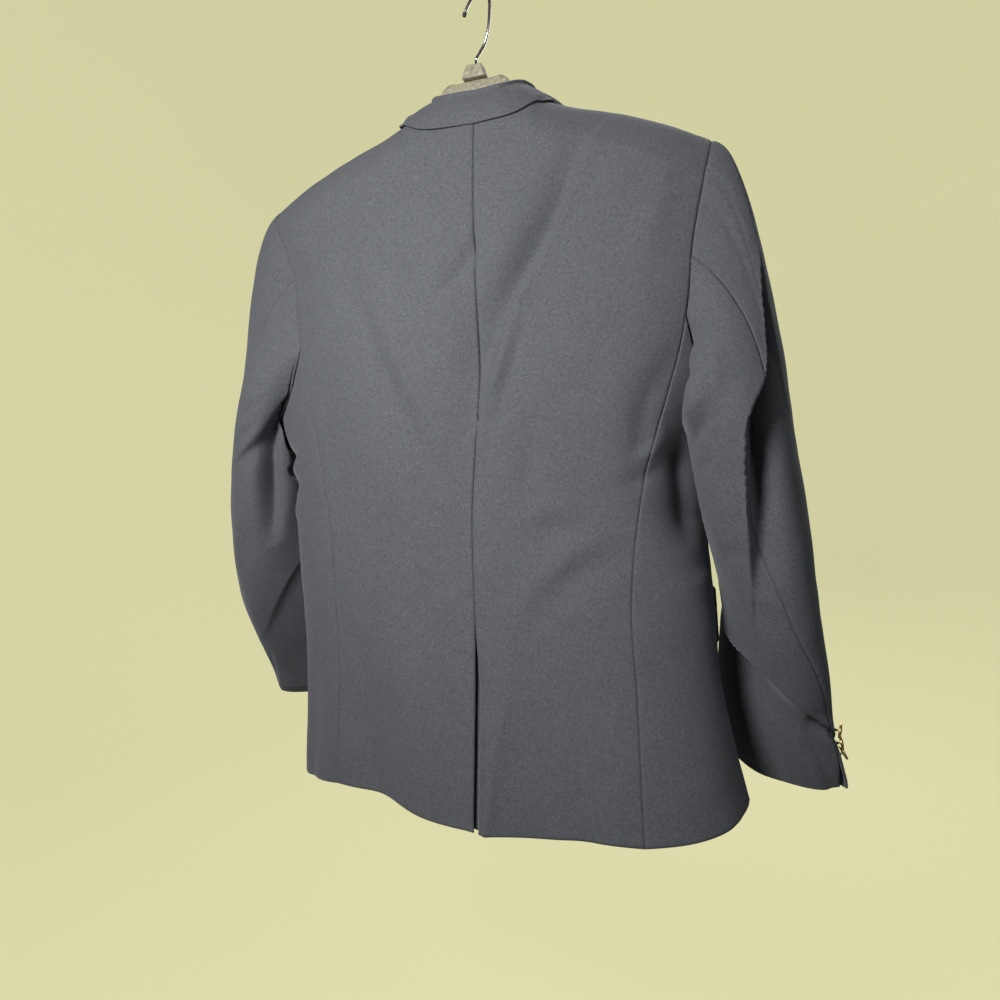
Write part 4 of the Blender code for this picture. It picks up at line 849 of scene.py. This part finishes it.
def resampled(rows, at):
    """The rows of a grid read at new places by smooth curves down each column."""
    count = rows.shape[0]
    flat = rows.reshape(count, -1)
    columns = [smooth(range(count), flat[:, k], at) for k in range(flat.shape[1])]
    return np.stack(columns, axis=1).reshape(len(at), *rows.shape[1:])


def flap(side):
    """A pocket flap: points of the front and the side panel, which the blazer's builder moves out."""
    row, column = np.meshgrid(edged(20, 0.055), edged(50, 0.16), indexing="ij")
    corner = np.abs(2 * column - 1) ** 8
    top = FLAP_TOP - FLAP_SLOPE * (1 - column)
    foot = FLAP_FOOT - FLAP_SLOPE * (1 - column) + FLAP_CORNER * corner
    z = foot + (top - foot) * row
    angle = np.radians(FLAP_REAR + (FLAP_FRONT - FLAP_REAR) * column)
    return skin(side, angle, z)


def outward_normals(points, middle):
    """Unit normals of a grid of points, facing away from the line through its middle."""
    normal = np.cross(np.gradient(points, axis=1), np.gradient(points, axis=0))
    normal /= np.maximum(np.linalg.norm(normal, axis=2, keepdims=True), 1e-12)
    return normal if np.sum(normal * (points - middle)) > 0 else -normal


def middle_of(name, points):
    """The line that a panel's outer face looks away from."""
    z = points[..., 2]
    if "sleeve" in name:
        side = RIGHT if "right" in name else LEFT
        return np.stack([sleeve_column(side, "x", z), sleeve_column(side, "y", z), z], axis=-1)
    return np.stack([centre(z), BODY_MIDDLE_Y + 0 * z, z], axis=-1)


def arc_along(points, axis):
    """The length of cloth from the grid's start to each point, along one axis."""
    steps = np.linalg.norm(np.diff(points, axis=axis), axis=2)
    start = np.zeros_like(steps[:1]) if axis == 0 else np.zeros_like(steps[:, :1])
    return np.cumsum(np.concatenate([start, steps], axis=axis), axis=axis)


def from_edges(points):
    """How far each point of a grid lies from the nearest edge, along the cloth."""
    up, across = arc_along(points, 0), arc_along(points, 1)
    return np.minimum.reduce([up, up[-1:] - up, across, across[:, -1:] - across])


def ripple(points):
    """Small uneven waves in the cloth."""
    x, y, z = (points[..., axis] for axis in range(3))
    waves = np.sin(88 * x + 37 * z + 2.2 * np.sin(31 * z + 19 * y))
    waves += np.sin(61 * z - 52 * x + 2.6 * np.sin(43 * x - 15 * z) + 40 * y)
    waves += 0.6 * np.sin(131 * z + 74 * x + 1.7 * np.sin(57 * x + 29 * z) - 66 * y)
    return waves / 2.6


def sewn(name, points):
    """A panel turned in at its edges, with the pull of the stitches beside them and small waves over it."""
    normal = outward_normals(points, middle_of(name, points))
    near = from_edges(points)
    z, y = points[..., 2], points[..., 1]
    pull = np.sin(690 * z + 420 * y + 3 * np.sin(95 * z)) * np.exp(-((near / PUCKER_REACH) ** 2))
    height = RIPPLE * ripple(points) + PUCKER * pull - SEAM_DIP * np.exp(-((near / SEAM_ROLL) ** 2))
    return points + normal * height[..., None]


def placed(name, data):
    """A new object of the scene, with its data."""
    obj = bpy.data.objects.new(name, data)
    bpy.context.scene.collection.objects.link(obj)
    return obj


def cloth_mesh(name, points, material, thickness):
    """A shell of cloth over a grid of points, with UVs in metres of cloth."""
    rows, columns = points.shape[:2]
    normal = outward_normals(points, middle_of(name, points))
    index = np.arange(rows * columns).reshape(rows, columns)
    quads = np.stack([index[:-1, :-1], index[:-1, 1:], index[1:, 1:], index[1:, :-1]], axis=-1)
    quads = quads.reshape(-1, 4)
    mid = (rows // 2, columns // 2)
    face = np.cross(points[mid[0], mid[1] + 1] - points[mid], points[mid[0] + 1, mid[1]] - points[mid])
    if np.dot(face, normal[mid]) < 0:
        quads = quads[:, ::-1]
    mesh = bpy.data.meshes.new(name)
    mesh.from_pydata(points.reshape(-1, 3).tolist(), [], quads.tolist())
    across, up = arc_along(points, 1), arc_along(points, 0)
    across = across - across[:, columns // 2 : columns // 2 + 1]
    flat = np.stack([across, up], axis=-1).reshape(-1, 2)
    layer = mesh.uv_layers.new(name="cloth")
    layer.data.foreach_set("uv", flat[quads.reshape(-1)].reshape(-1))
    mesh.shade_smooth()
    mesh.materials.append(material)
    obj = placed(name, mesh)
    shell = obj.modifiers.new("thickness", "SOLIDIFY")
    shell.thickness = thickness
    shell.offset = -1.0
    return obj


def curve_piece(name, routes, radius, material, steps):
    """Round wire or thread along one or more routes of points."""
    curve = bpy.data.curves.new(name, "CURVE")
    curve.dimensions = "3D"
    curve.bevel_depth = radius
    curve.bevel_resolution = steps
    curve.use_fill_caps = True
    for route in routes:
        spline = curve.splines.new("POLY")
        spline.points.add(len(route) - 1)
        for point, place in zip(spline.points, route):
            point.co = (*place, 1.0)
        spline.use_smooth = True
    curve.materials.append(material)
    return placed(name, curve)


def mesh_piece(name, builder, material, sharp=50):
    """A smooth piece from a mesh builder, with edges above an angle in degrees left sharp."""
    bmesh.ops.recalc_face_normals(builder, faces=builder.faces)
    mesh = bpy.data.meshes.new(name)
    builder.to_mesh(mesh)
    builder.free()
    mesh.shade_smooth()
    mesh.set_sharp_from_angle(angle=math.radians(sharp))
    mesh.materials.append(material)
    return placed(name, mesh)


# Hanger.
HOOK_WIRE = 0.0016
HOOK_RADIUS = 0.0264
HOOK_TURN = math.radians(-33.0)
HOOK_ARC_START, HOOK_ARC_END = 180.0, 42.0
TIP_OVERLAP, TIP_LENGTH, TIP_WALL = 1.5, 11.0, 0.0006  # degrees of the arc, and metres over the wire
HOOK_STEM = (
    (-0.0015, -0.0752), (-0.0020, -0.0683), (-0.0087, -0.0645), (-0.0184, -0.0580), (-0.0245, -0.0440),
    (-0.0264, -0.0248),
)
BAR_REACH = 0.218
BAR_HALF_WIDTH = 0.0045
BAR_POWER = 0.6
BAR_END_ROUND = 0.006
PARTING_LINE = 0.0002
# Out from the middle: the ridge's height and how deep the bar is.
BAR = (
    (0.000, -0.0905, 0.026), (0.018, -0.0912, 0.026), (0.034, -0.0930, 0.026), (0.039, -0.0990, 0.025),
    (0.044, -0.1200, 0.020),
    (0.056, -0.1310, 0.018), (0.070, -0.1365, 0.018), (0.100, -0.1480, 0.020), (0.150, -0.1630, 0.018),
    (0.190, -0.1775, 0.017), (0.230, -0.2000, 0.014),
)
BLOCK_TOP, BLOCK_FOOT = -0.0755, -0.0895
BLOCK_TOP_HALF, BLOCK_FOOT_HALF, BLOCK_DEPTH = 0.0085, 0.0135, 0.013
BLOCK_BULGE, BLOCK_EDGE = 0.05, 0.0014


def hook_point(across, z):
    return (across * math.cos(HOOK_TURN), across * math.sin(HOOK_TURN), z)


def hook_arc(start, end, steps):
    centre_z = HOOK_WIRE - HOOK_RADIUS
    for degrees in np.linspace(start, end, steps + 1):
        turn = math.radians(degrees)
        yield hook_point(HOOK_RADIUS * math.cos(turn), centre_z + HOOK_RADIUS * math.sin(turn))


def hanger_hook(steel, rubber):
    """The wire, and its dark moulded tip with rounded ends."""
    stem = [hook_point(x, z) for x, z in smooth_path(HOOK_STEM, 8)[:-1]]
    arc = list(hook_arc(HOOK_ARC_START, HOOK_ARC_END, 48))
    hook = curve_piece("hook_wire", [stem + arc], HOOK_WIRE, steel, 5)
    route = list(hook_arc(HOOK_ARC_END + TIP_OVERLAP, HOOK_ARC_END - TIP_LENGTH, 12))
    tip = curve_piece("hook_tip", [route], HOOK_WIRE + TIP_WALL, rubber, 5)
    for i, point in enumerate(tip.data.splines[0].points):
        end = abs(2 * i / (len(route) - 1) - 1)
        point.radius = math.sqrt(max(1 - end**6, 0.10))
    return hook, tip


def hanger_bar(plastic):
    """The moulded bar, with rounded edges and a fine parting line along its ridge."""
    sides = 28
    arm = np.concatenate([np.linspace(0, 0.06, 40), np.linspace(0.062, BAR_REACH, 60)])
    x = np.concatenate([-arm[:0:-1], arm])
    top, height = (read_table(BAR, column, np.abs(x)) for column in (1, 2))
    angle = np.linspace(0, 2 * np.pi, sides + 1)[:-1]
    end = np.clip((BAR_REACH - np.abs(x)) / BAR_END_ROUND, 0, 1)
    round_end = np.sqrt(1 - (1 - end) ** 2) * 0.98 + 0.02
    builder = bmesh.new()
    loops = []
    for i in range(len(x)):
        y = BAR_HALF_WIDTH * signed_power(np.cos(angle), BAR_POWER) * round_end[i]
        z = top[i] - height[i] / 2 + height[i] / 2 * signed_power(np.sin(angle), BAR_POWER) * round_end[i]
        z[sides // 4] += PARTING_LINE
        loops.append([builder.verts.new((x[i], y[k], z[k])) for k in range(sides)])
    for one, two in zip(loops, loops[1:]):
        for k in range(sides):
            builder.faces.new((one[k], one[(k + 1) % sides], two[(k + 1) % sides], two[k]))
    builder.faces.new(loops[0])
    builder.faces.new(loops[-1])
    return mesh_piece("moulded_bar", builder, plastic)


def hanger_block(plastic):
    """The neck block: a tapered box with softened edges, a little fuller halfway up."""
    builder = bmesh.new()
    bmesh.ops.create_cube(builder, size=1)
    for vert in builder.verts:
        half = BLOCK_TOP_HALF if vert.co.z > 0 else BLOCK_FOOT_HALF
        z = BLOCK_TOP if vert.co.z > 0 else BLOCK_FOOT
        vert.co = (2 * half * vert.co.x, BLOCK_DEPTH * vert.co.y, z)
    bmesh.ops.subdivide_edges(builder, edges=builder.edges, cuts=3, use_grid_fill=True)
    for vert in builder.verts:
        bulge = 1 - (2 * (vert.co.z - BLOCK_FOOT) / (BLOCK_TOP - BLOCK_FOOT) - 1) ** 2
        vert.co.y *= 1 + BLOCK_BULGE * bulge
    piece = mesh_piece("neck_block", builder, plastic)
    soften = piece.modifiers.new("soften", "BEVEL")
    soften.width = BLOCK_EDGE
    soften.segments = 4
    return piece


# Buttons.
def turned(builder, profile, steps, frame_of):
    """Sweeps a profile of (radius, height) round the button's own axis."""
    rings = []
    for radius, height in profile:
        if radius < 1e-6:
            rings.append([builder.verts.new(frame_of(0, 0, height))])
            continue
        turns = [2 * math.pi * k / steps for k in range(steps)]
        rings.append([
            builder.verts.new(frame_of(radius * math.cos(a), radius * math.sin(a), height)) for a in turns
        ])
    for one, two in zip(rings, rings[1:]):
        for k in range(steps):
            a, b = one[k % len(one)], one[(k + 1) % len(one)]
            c, d = two[(k + 1) % len(two)], two[k % len(two)]
            corners = list(dict.fromkeys((a, b, c, d)))
            if len(corners) > 2:
                builder.faces.new(corners)


def button_face(radius):
    """From the middle of the dome, over the rolled rim, to the back plate."""
    return (
        (0.0, 0.0062), (0.20 * radius, 0.00615), (0.42 * radius, 0.0060), (0.60 * radius, 0.0057),
        (0.74 * radius, 0.0053), (0.80 * radius, 0.0050), (0.84 * radius, 0.0050), (0.88 * radius, 0.0053),
        (0.93 * radius, 0.0055), (0.98 * radius, 0.0053), (1.00 * radius, 0.0047), (0.99 * radius, 0.0041),
        (0.94 * radius, 0.0037), (0.80 * radius, 0.0035), (0.40 * radius, 0.0033), (0.0, 0.0033),
    )


def button(name, radius, place, direction, tilt, metal, thread):
    """A domed metal button on a wire loop, sewn on with a short shank of thread."""
    axis = Vector(direction).normalized()
    across = axis.cross(Vector((0, 0, 1))).normalized()
    up = across.cross(axis)
    axis = (axis + up * tilt[0] + across * tilt[1]).normalized()
    across = (across - axis * across.dot(axis)).normalized()
    up = across.cross(axis)
    base = Vector(place)

    def at(x, y, z):
        return base + across * x + up * y + axis * z

    builder = bmesh.new()
    turned(builder, button_face(radius), 56, at)
    piece = mesh_piece(name, builder, metal, 60)
    loop = [at(0.0017 * math.cos(a), 0, 0.0034 - 0.0020 * math.sin(a)) for a in np.linspace(0, math.pi, 14)]
    loop = curve_piece(name + "_loop", [loop], 0.00045, metal, 2)
    wraps = []
    for k in range(5):
        turn = 0.5 * k
        foot = at(0.0016 * math.cos(turn * 2.4), 0.0014 * math.sin(turn * 2.4), -0.0006)
        middle = at(0.0006 * math.cos(turn), 0.0011 * math.sin(turn * 1.7), 0.0010)
        head = at(0.0005 * math.cos(turn + 2), 0.0006, 0.0019 + 0.00015 * k)
        wraps.append([foot, middle, head])
    ring = [
        at(0.0010 * math.cos(a), 0.0010 * math.sin(a), 0.0002 + 0.00009 * a) for a in np.linspace(0, 14, 50)
    ]
    shank = curve_piece(name + "_thread", wraps + [ring], 0.00032, thread, 2)
    return piece, loop, shank


def sewn_button(node, radius, cloth, tilt, metal, thread):
    """A button on its node's own place, standing on the cloth under it."""
    low, high = (np.array(corner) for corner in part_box(node))
    points, normals = (cloth[part].reshape(-1, 3) for part in ("points", "normal"))
    at = int(np.argmin(np.sum((points - (low + high) / 2) ** 2, axis=1)))
    place, normal = points[at], normals[at]
    place = place + normal * BUTTON_GAP
    pieces = button(node + "_metal", radius, place, normal, tilt, metal, thread)
    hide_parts(node)
    for piece, slot in zip(pieces, ("gold_tone_metal", "gold_tone_metal", "wool")):
        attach(piece, "root")


# Finishes.
THREADS = 1250.0  # to a metre of cloth
WOOL_DARK = (0.050, 0.054, 0.063)
WOOL_LIGHT = (0.135, 0.142, 0.158)
BACKDROP = (0.76, 0.745, 0.425)
# The grained finishes: a dark and a light colour, the roughness, the fine and the coarse marks to a
# metre, how deep they are, and whether it is metal.
FINISHES = {
    "gold_tone": ((0.62, 0.41, 0.13), (0.86, 0.64, 0.27), 0.26, 900.0, 220.0, 0.00008, True),
    "plated_wire": ((0.42, 0.42, 0.41), (0.72, 0.72, 0.70), 0.22, 1400.0, 160.0, 0.00006, True),
    "mottled_plastic": ((0.17, 0.155, 0.11), (0.40, 0.375, 0.27), 0.50, 1600.0, 240.0, 0.0001, False),
    "dull_tip": ((0.012, 0.012, 0.013), (0.030, 0.030, 0.030), 0.62, 2000.0, 300.0, 0.0001, False),
    "dark_thread": ((0.016, 0.018, 0.024), (0.045, 0.048, 0.056), 0.85, 3000.0, 700.0, 0.0002, False),
}


def node_group(name, inputs, outputs):
    """A shader node group with named inputs and outputs; returns it with its two end nodes."""
    group = bpy.data.node_groups.new(name, "ShaderNodeTree")
    for label, kind, value in inputs:
        socket = group.interface.new_socket(label, in_out="INPUT", socket_type=kind)
        if value is not None:
            socket.default_value = value
    for label, kind in outputs:
        group.interface.new_socket(label, in_out="OUTPUT", socket_type=kind)
    return group, group.nodes.new("NodeGroupInput"), group.nodes.new("NodeGroupOutput")


def add_node(tree, kind, inputs, **settings):
    """A shader node with some inputs filled, each by a number, a colour or another node's output."""
    node = tree.nodes.new(kind)
    for setting, value in settings.items():
        setattr(node, setting, value)
    for label, value in inputs.items():
        if isinstance(value, bpy.types.NodeSocket):
            tree.links.new(value, node.inputs[label])
        else:
            node.inputs[label].default_value = value
    return node


def calculate(tree, operation, *values):
    """A Math node whose inputs are sockets or numbers; returns its output."""
    return add_node(tree, "ShaderNodeMath", dict(enumerate(values)), operation=operation).outputs[0]


def noise(tree, place, scale, detail=2.0, roughness=0.5, distortion=0.0):
    inputs = {"Vector": place, "Scale": scale, "Detail": detail, "Roughness": roughness}
    inputs["Distortion"] = distortion
    return add_node(tree, "ShaderNodeTexNoise", inputs).outputs["Fac"]


def ranged(tree, value, low, high, to_low, to_high):
    inputs = {"Value": value, "From Min": low, "From Max": high, "To Min": to_low, "To Max": to_high}
    return add_node(tree, "ShaderNodeMapRange", inputs).outputs["Result"]


def weave_group():
    """Hopsack weave: the height of the threads, and how light each spot is."""
    group, start, end = node_group(
        "hopsack_weave",
        (("Place", "NodeSocketVector", None), ("Spot", "NodeSocketVector", None),
         ("Threads", "NodeSocketFloat", THREADS)),
        (("Height", "NodeSocketFloat"), ("Shade", "NodeSocketFloat")),
    )
    split = group.nodes.new("ShaderNodeSeparateXYZ")
    group.links.new(start.outputs["Place"], split.inputs[0])
    turns = calculate(group, "MULTIPLY", start.outputs["Threads"], 2 * math.pi)
    slub = noise(group, start.outputs["Spot"], 340.0, 2.0)
    sway = calculate(group, "MULTIPLY", slub, 1.6)
    across = calculate(group, "ADD", calculate(group, "MULTIPLY", split.outputs[0], turns), sway)
    up = calculate(group, "ADD", calculate(group, "MULTIPLY", split.outputs[1], turns), sway)
    over = calculate(group, "MULTIPLY", calculate(group, "SINE", across), calculate(group, "SINE", up))
    diagonal = calculate(
        group, "SINE", calculate(group, "MULTIPLY", calculate(group, "SUBTRACT", across, up), 0.5)
    )
    height = calculate(group, "MULTIPLY_ADD", over, 0.30, 0.5)
    height = calculate(group, "MULTIPLY_ADD", diagonal, 0.20, height)
    group.links.new(height, end.inputs["Height"])
    fine = noise(group, start.outputs["Spot"], 760.0, 3.0, 0.7)
    coarse = noise(group, start.outputs["Spot"], 330.0, 2.0, 0.55)
    shade = calculate(group, "MULTIPLY_ADD", fine, 0.78, calculate(group, "MULTIPLY", coarse, 0.22))
    shade = calculate(group, "MULTIPLY_ADD", height, 0.22, shade)
    group.links.new(ranged(group, shade, 0.40, 0.82, 0.0, 1.0), end.inputs["Shade"])
    return group


def grain_group():
    """Moulding or handling marks: a height and a patchy shade from two sizes of noise."""
    group, start, end = node_group(
        "surface_grain",
        (("Place", "NodeSocketVector", None), ("Fine", "NodeSocketFloat", 900.0),
         ("Coarse", "NodeSocketFloat", 90.0)),
        (("Height", "NodeSocketFloat"), ("Shade", "NodeSocketFloat")),
    )
    fine, coarse = (
        noise(group, start.outputs["Place"], start.outputs[label], detail)
        for label, detail in (("Fine", 3.0), ("Coarse", 4.0))
    )
    group.links.new(calculate(group, "MULTIPLY_ADD", fine, 0.5, coarse), end.inputs["Height"])
    shade = calculate(group, "MULTIPLY_ADD", fine, 0.35, calculate(group, "MULTIPLY", coarse, 0.65))
    group.links.new(ranged(group, shade, 0.34, 0.66, 0.0, 1.0), end.inputs["Shade"])
    return group


def start_material(name):
    material = bpy.data.materials.new(name)
    material.use_nodes = True
    return material, material.node_tree, material.node_tree.nodes["Principled BSDF"]


def use_group(tree, group, place, **values):
    inputs = {"Place": place} | {label.capitalize(): value for label, value in values.items()}
    return add_node(tree, "ShaderNodeGroup", inputs, node_tree=group)


def colour_between(tree, share, dark, light):
    ramp = tree.nodes.new("ShaderNodeValToRGB")
    ramp.color_ramp.elements[0].color = (*dark, 1.0)
    ramp.color_ramp.elements[1].color = (*light, 1.0)
    tree.links.new(share, ramp.inputs[0])
    return ramp.outputs["Color"]


def bumped(tree, height, strength, distance, under=None):
    inputs = {"Strength": strength, "Distance": distance, "Height": height}
    if under is not None:
        inputs["Normal"] = under
    return add_node(tree, "ShaderNodeBump", inputs).outputs["Normal"]


def wool_material(weave):
    """Worsted wool: a fine hopsack with mottled yarn, soft creasing with painted shade darkening its hollows,
    and a faint nap.
    """
    material, tree, shader = start_material("worsted_wool")
    coordinates = tree.nodes.new("ShaderNodeTexCoord")
    spot = coordinates.outputs["Object"]
    cloth = use_group(tree, weave, coordinates.outputs["UV"], spot=spot, threads=THREADS)
    soft = noise(tree, spot, 26.0, 4.0, 0.55, 0.6)
    colour = colour_between(tree, cloth.outputs["Shade"], WOOL_DARK, WOOL_LIGHT)
    # The soft crease noise also darkens the base colour by up to a tenth where its bump dips: painted shade
    # in the creases.
    crease_shade = colour_between(tree, soft, (0.90, 0.91, 0.93), (1.0, 1.0, 1.0))
    inputs = {"Factor": 1.0, "A": colour, "B": crease_shade}
    painted_shade_mix = add_node(tree, "ShaderNodeMix", inputs, data_type="RGBA", blend_type="MULTIPLY")
    tree.links.new(painted_shade_mix.outputs["Result"], shader.inputs["Base Color"])
    tree.links.new(ranged(tree, cloth.outputs["Shade"], 0.0, 1.0, 0.88, 0.74), shader.inputs["Roughness"])
    creased = bumped(tree, soft, 0.35, 0.0016)
    tree.links.new(bumped(tree, cloth.outputs["Height"], 0.55, 0.00022, creased), shader.inputs["Normal"])
    shader.inputs["Sheen Weight"].default_value = 0.22
    shader.inputs["Sheen Roughness"].default_value = 0.45
    shader.inputs["Sheen Tint"].default_value = (0.82, 0.86, 0.95, 1.0)
    shader.inputs["Specular IOR Level"].default_value = 0.30
    return material


def grained_material(name, grain, dark, light, rough, fine, coarse, depth, metal):
    """Metal, plastic or thread whose marks also change its colour and its roughness a little."""
    material, tree, shader = start_material(name)
    duller, brighter, strength = (0.10, 0.04, 0.25) if metal else (0.08, 0.06, 0.30)
    coordinates = tree.nodes.new("ShaderNodeTexCoord")
    marks = use_group(tree, grain, coordinates.outputs["Object"], fine=fine, coarse=coarse)
    shade, height = marks.outputs["Shade"], marks.outputs["Height"]
    tree.links.new(colour_between(tree, shade, dark, light), shader.inputs["Base Color"])
    roughness = ranged(tree, shade, 0.0, 1.0, rough + duller, rough - brighter)
    tree.links.new(roughness, shader.inputs["Roughness"])
    tree.links.new(bumped(tree, height, strength, depth), shader.inputs["Normal"])
    shader.inputs["Metallic"].default_value = 1.0 if metal else 0.0
    return material


def cloth_piece(node, points, wool, thickness=CLOTH, stitched=True):
    """A visible piece of cloth for a node; returns its surface for what is sewn on it."""
    name = node + "_cloth"
    shape = sewn(name, points) if stitched else points
    obj = cloth_mesh(name, shape, wool, thickness)
    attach(obj, "root")
    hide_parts(node)
    return {"points": shape, "normal": outward_normals(shape, middle_of(name, shape))}


def make_blazer(wool, gold, thread):
    panels = {}
    for side in (RIGHT, LEFT):
        name = SIDE_NAME[side]
        panels["back_" + name] = back_panel(side)
        panels["side_" + name] = side_panel(side)
        panels["front_" + name] = front_panel(side)
    for side in (RIGHT, LEFT):
        panels = sleeve_panels(panels, side)
    made = {}
    for name, points in panels.items():
        made[name] = cloth_piece(name, points, wool)

    points = vent_underlap()
    points = points - outward_normals(points, middle_of("vent", points)) * (CLOTH + UNDERLAP_GAP)
    cloth_piece("vent_underlap", points, wool)
    for side in (RIGHT, LEFT):
        name = SIDE_NAME[side]
        cloth_piece("lapel_" + name, lapel(side), wool, stitched=False)
        points = flap(side)
        points = points + outward_normals(points, middle_of("flap", points)) * (CLOTH + LAY_GAP)
        cloth_piece("flap_" + name, points, wool)
        sleeve = made["top_sleeve_" + name]
        for number, tilt in ((1, (0.20, 0.18)), (2, (-0.36, 0.18)), (3, (-0.30, 0.18))):
            label = f"cuff_button_{name}_{number}"
            sewn_button(label, CUFF_BUTTON_RADIUS, sleeve, tilt, gold, thread)
    cloth_piece("collar", collar(), wool, COLLAR_WALL, stitched=False)
    for number, tilt in ((1, (-0.05, 0.04)), (2, (0.06, -0.03))):
        sewn_button(f"front_button_{number}", FRONT_BUTTON_RADIUS, made["front_left"], tilt, gold, thread)


def make_hanger(steel, plastic, rubber):
    hook, tip = hanger_hook(steel, rubber)
    for piece, node, slot in (
        (hook, "hanger_hook", "hook_steel"),
        (tip, "hanger_tip", "dark_tip"),
        (hanger_bar(plastic), "hanger_bar", "hanger_plastic"),
        (hanger_block(plastic), "hanger_block", "hanger_plastic"),
    ):
        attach(piece, "root")
        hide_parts(node)


def look_at(obj, place):
    direction = Vector(place) - obj.location
    obj.rotation_euler = direction.to_track_quat("-Z", "Y").to_euler()


def make_camera():
    """The photograph's view: from behind, 21 degrees to the wearer's right, level at the waist."""
    data = bpy.data.cameras.new("camera")
    data.lens, data.sensor_width = 27.04, 36.0
    camera = placed("camera", data)
    camera.location = (-0.3112, 0.7375, -0.537)
    look_at(camera, camera.location + Vector((0.3584, -0.9336, 0.0)))
    bpy.context.scene.camera = camera


def make_light(name, place, target, size, power, colour):
    data = bpy.data.lights.new(name, "AREA")
    data.shape = "DISK"
    data.size = size
    data.energy = power
    data.color = colour
    lamp = placed(name, data)
    lamp.location = place
    look_at(lamp, target)


def make_stage():
    """A pale floor that turns up all round into a wall, a soft key light, two fills and pale air."""
    profile = [(0.0, 0.0), (1.7, 0.0)]
    profile += [(1.7 + 1.1 * math.sin(a), 1.1 - 1.1 * math.cos(a)) for a in np.linspace(0.1, math.pi / 2, 14)]
    profile += [(2.8, 3.2)]
    builder = bmesh.new()
    turned(builder, profile, 96, lambda x, y, z: (x, y, z - 1.30))
    material, tree, shader = start_material("pale_floor")
    coordinates = tree.nodes.new("ShaderNodeTexCoord")
    soft = noise(tree, coordinates.outputs["Object"], 1.2, 3.0)
    pale = colour_between(tree, soft, tuple(0.97 * c for c in BACKDROP), BACKDROP)
    shader.inputs["Base Color"].default_value = (*(0.25 * c for c in BACKDROP), 1.0)
    tree.links.new(pale, shader.inputs["Emission Color"])
    shader.inputs["Emission Strength"].default_value = 0.82
    shader.inputs["Roughness"].default_value = 0.9
    floor = mesh_piece("floor", builder, material)
    floor.visible_shadow = False
    floor.visible_diffuse = False
    floor.visible_glossy = False
    make_light("key", (0.14, 0.82, -0.20), (0.0, 0.0, -0.42), 0.34, 10.6, (1.0, 0.985, 0.95))
    make_light("fill", (-1.6, 0.7, -0.1), (-0.1, 0.0, -0.5), 1.2, 3.0, (0.97, 0.99, 1.0))
    make_light("front_fill", (-0.3, -1.9, 0.5), (0.0, 0.0, -0.45), 1.6, 26.0, (1.0, 0.99, 0.97))
    world = bpy.data.worlds.new("pale_air")
    world.use_nodes = True
    world.node_tree.nodes["Background"].inputs["Color"].default_value = (1.0, 0.99, 0.95, 1.0)
    world.node_tree.nodes["Background"].inputs["Strength"].default_value = 0.08
    bpy.context.scene.world = world
    bpy.context.scene.view_settings.view_transform = "Standard"


def main():
    weave, grain = weave_group(), grain_group()
    wool = wool_material(weave)
    gold, steel, plastic, rubber, thread = (
        grained_material(name, grain, *finish) for name, finish in FINISHES.items()
    )
    make_blazer(wool, gold, thread)
    make_hanger(steel, plastic, rubber)
    make_stage()
    make_camera()


main()
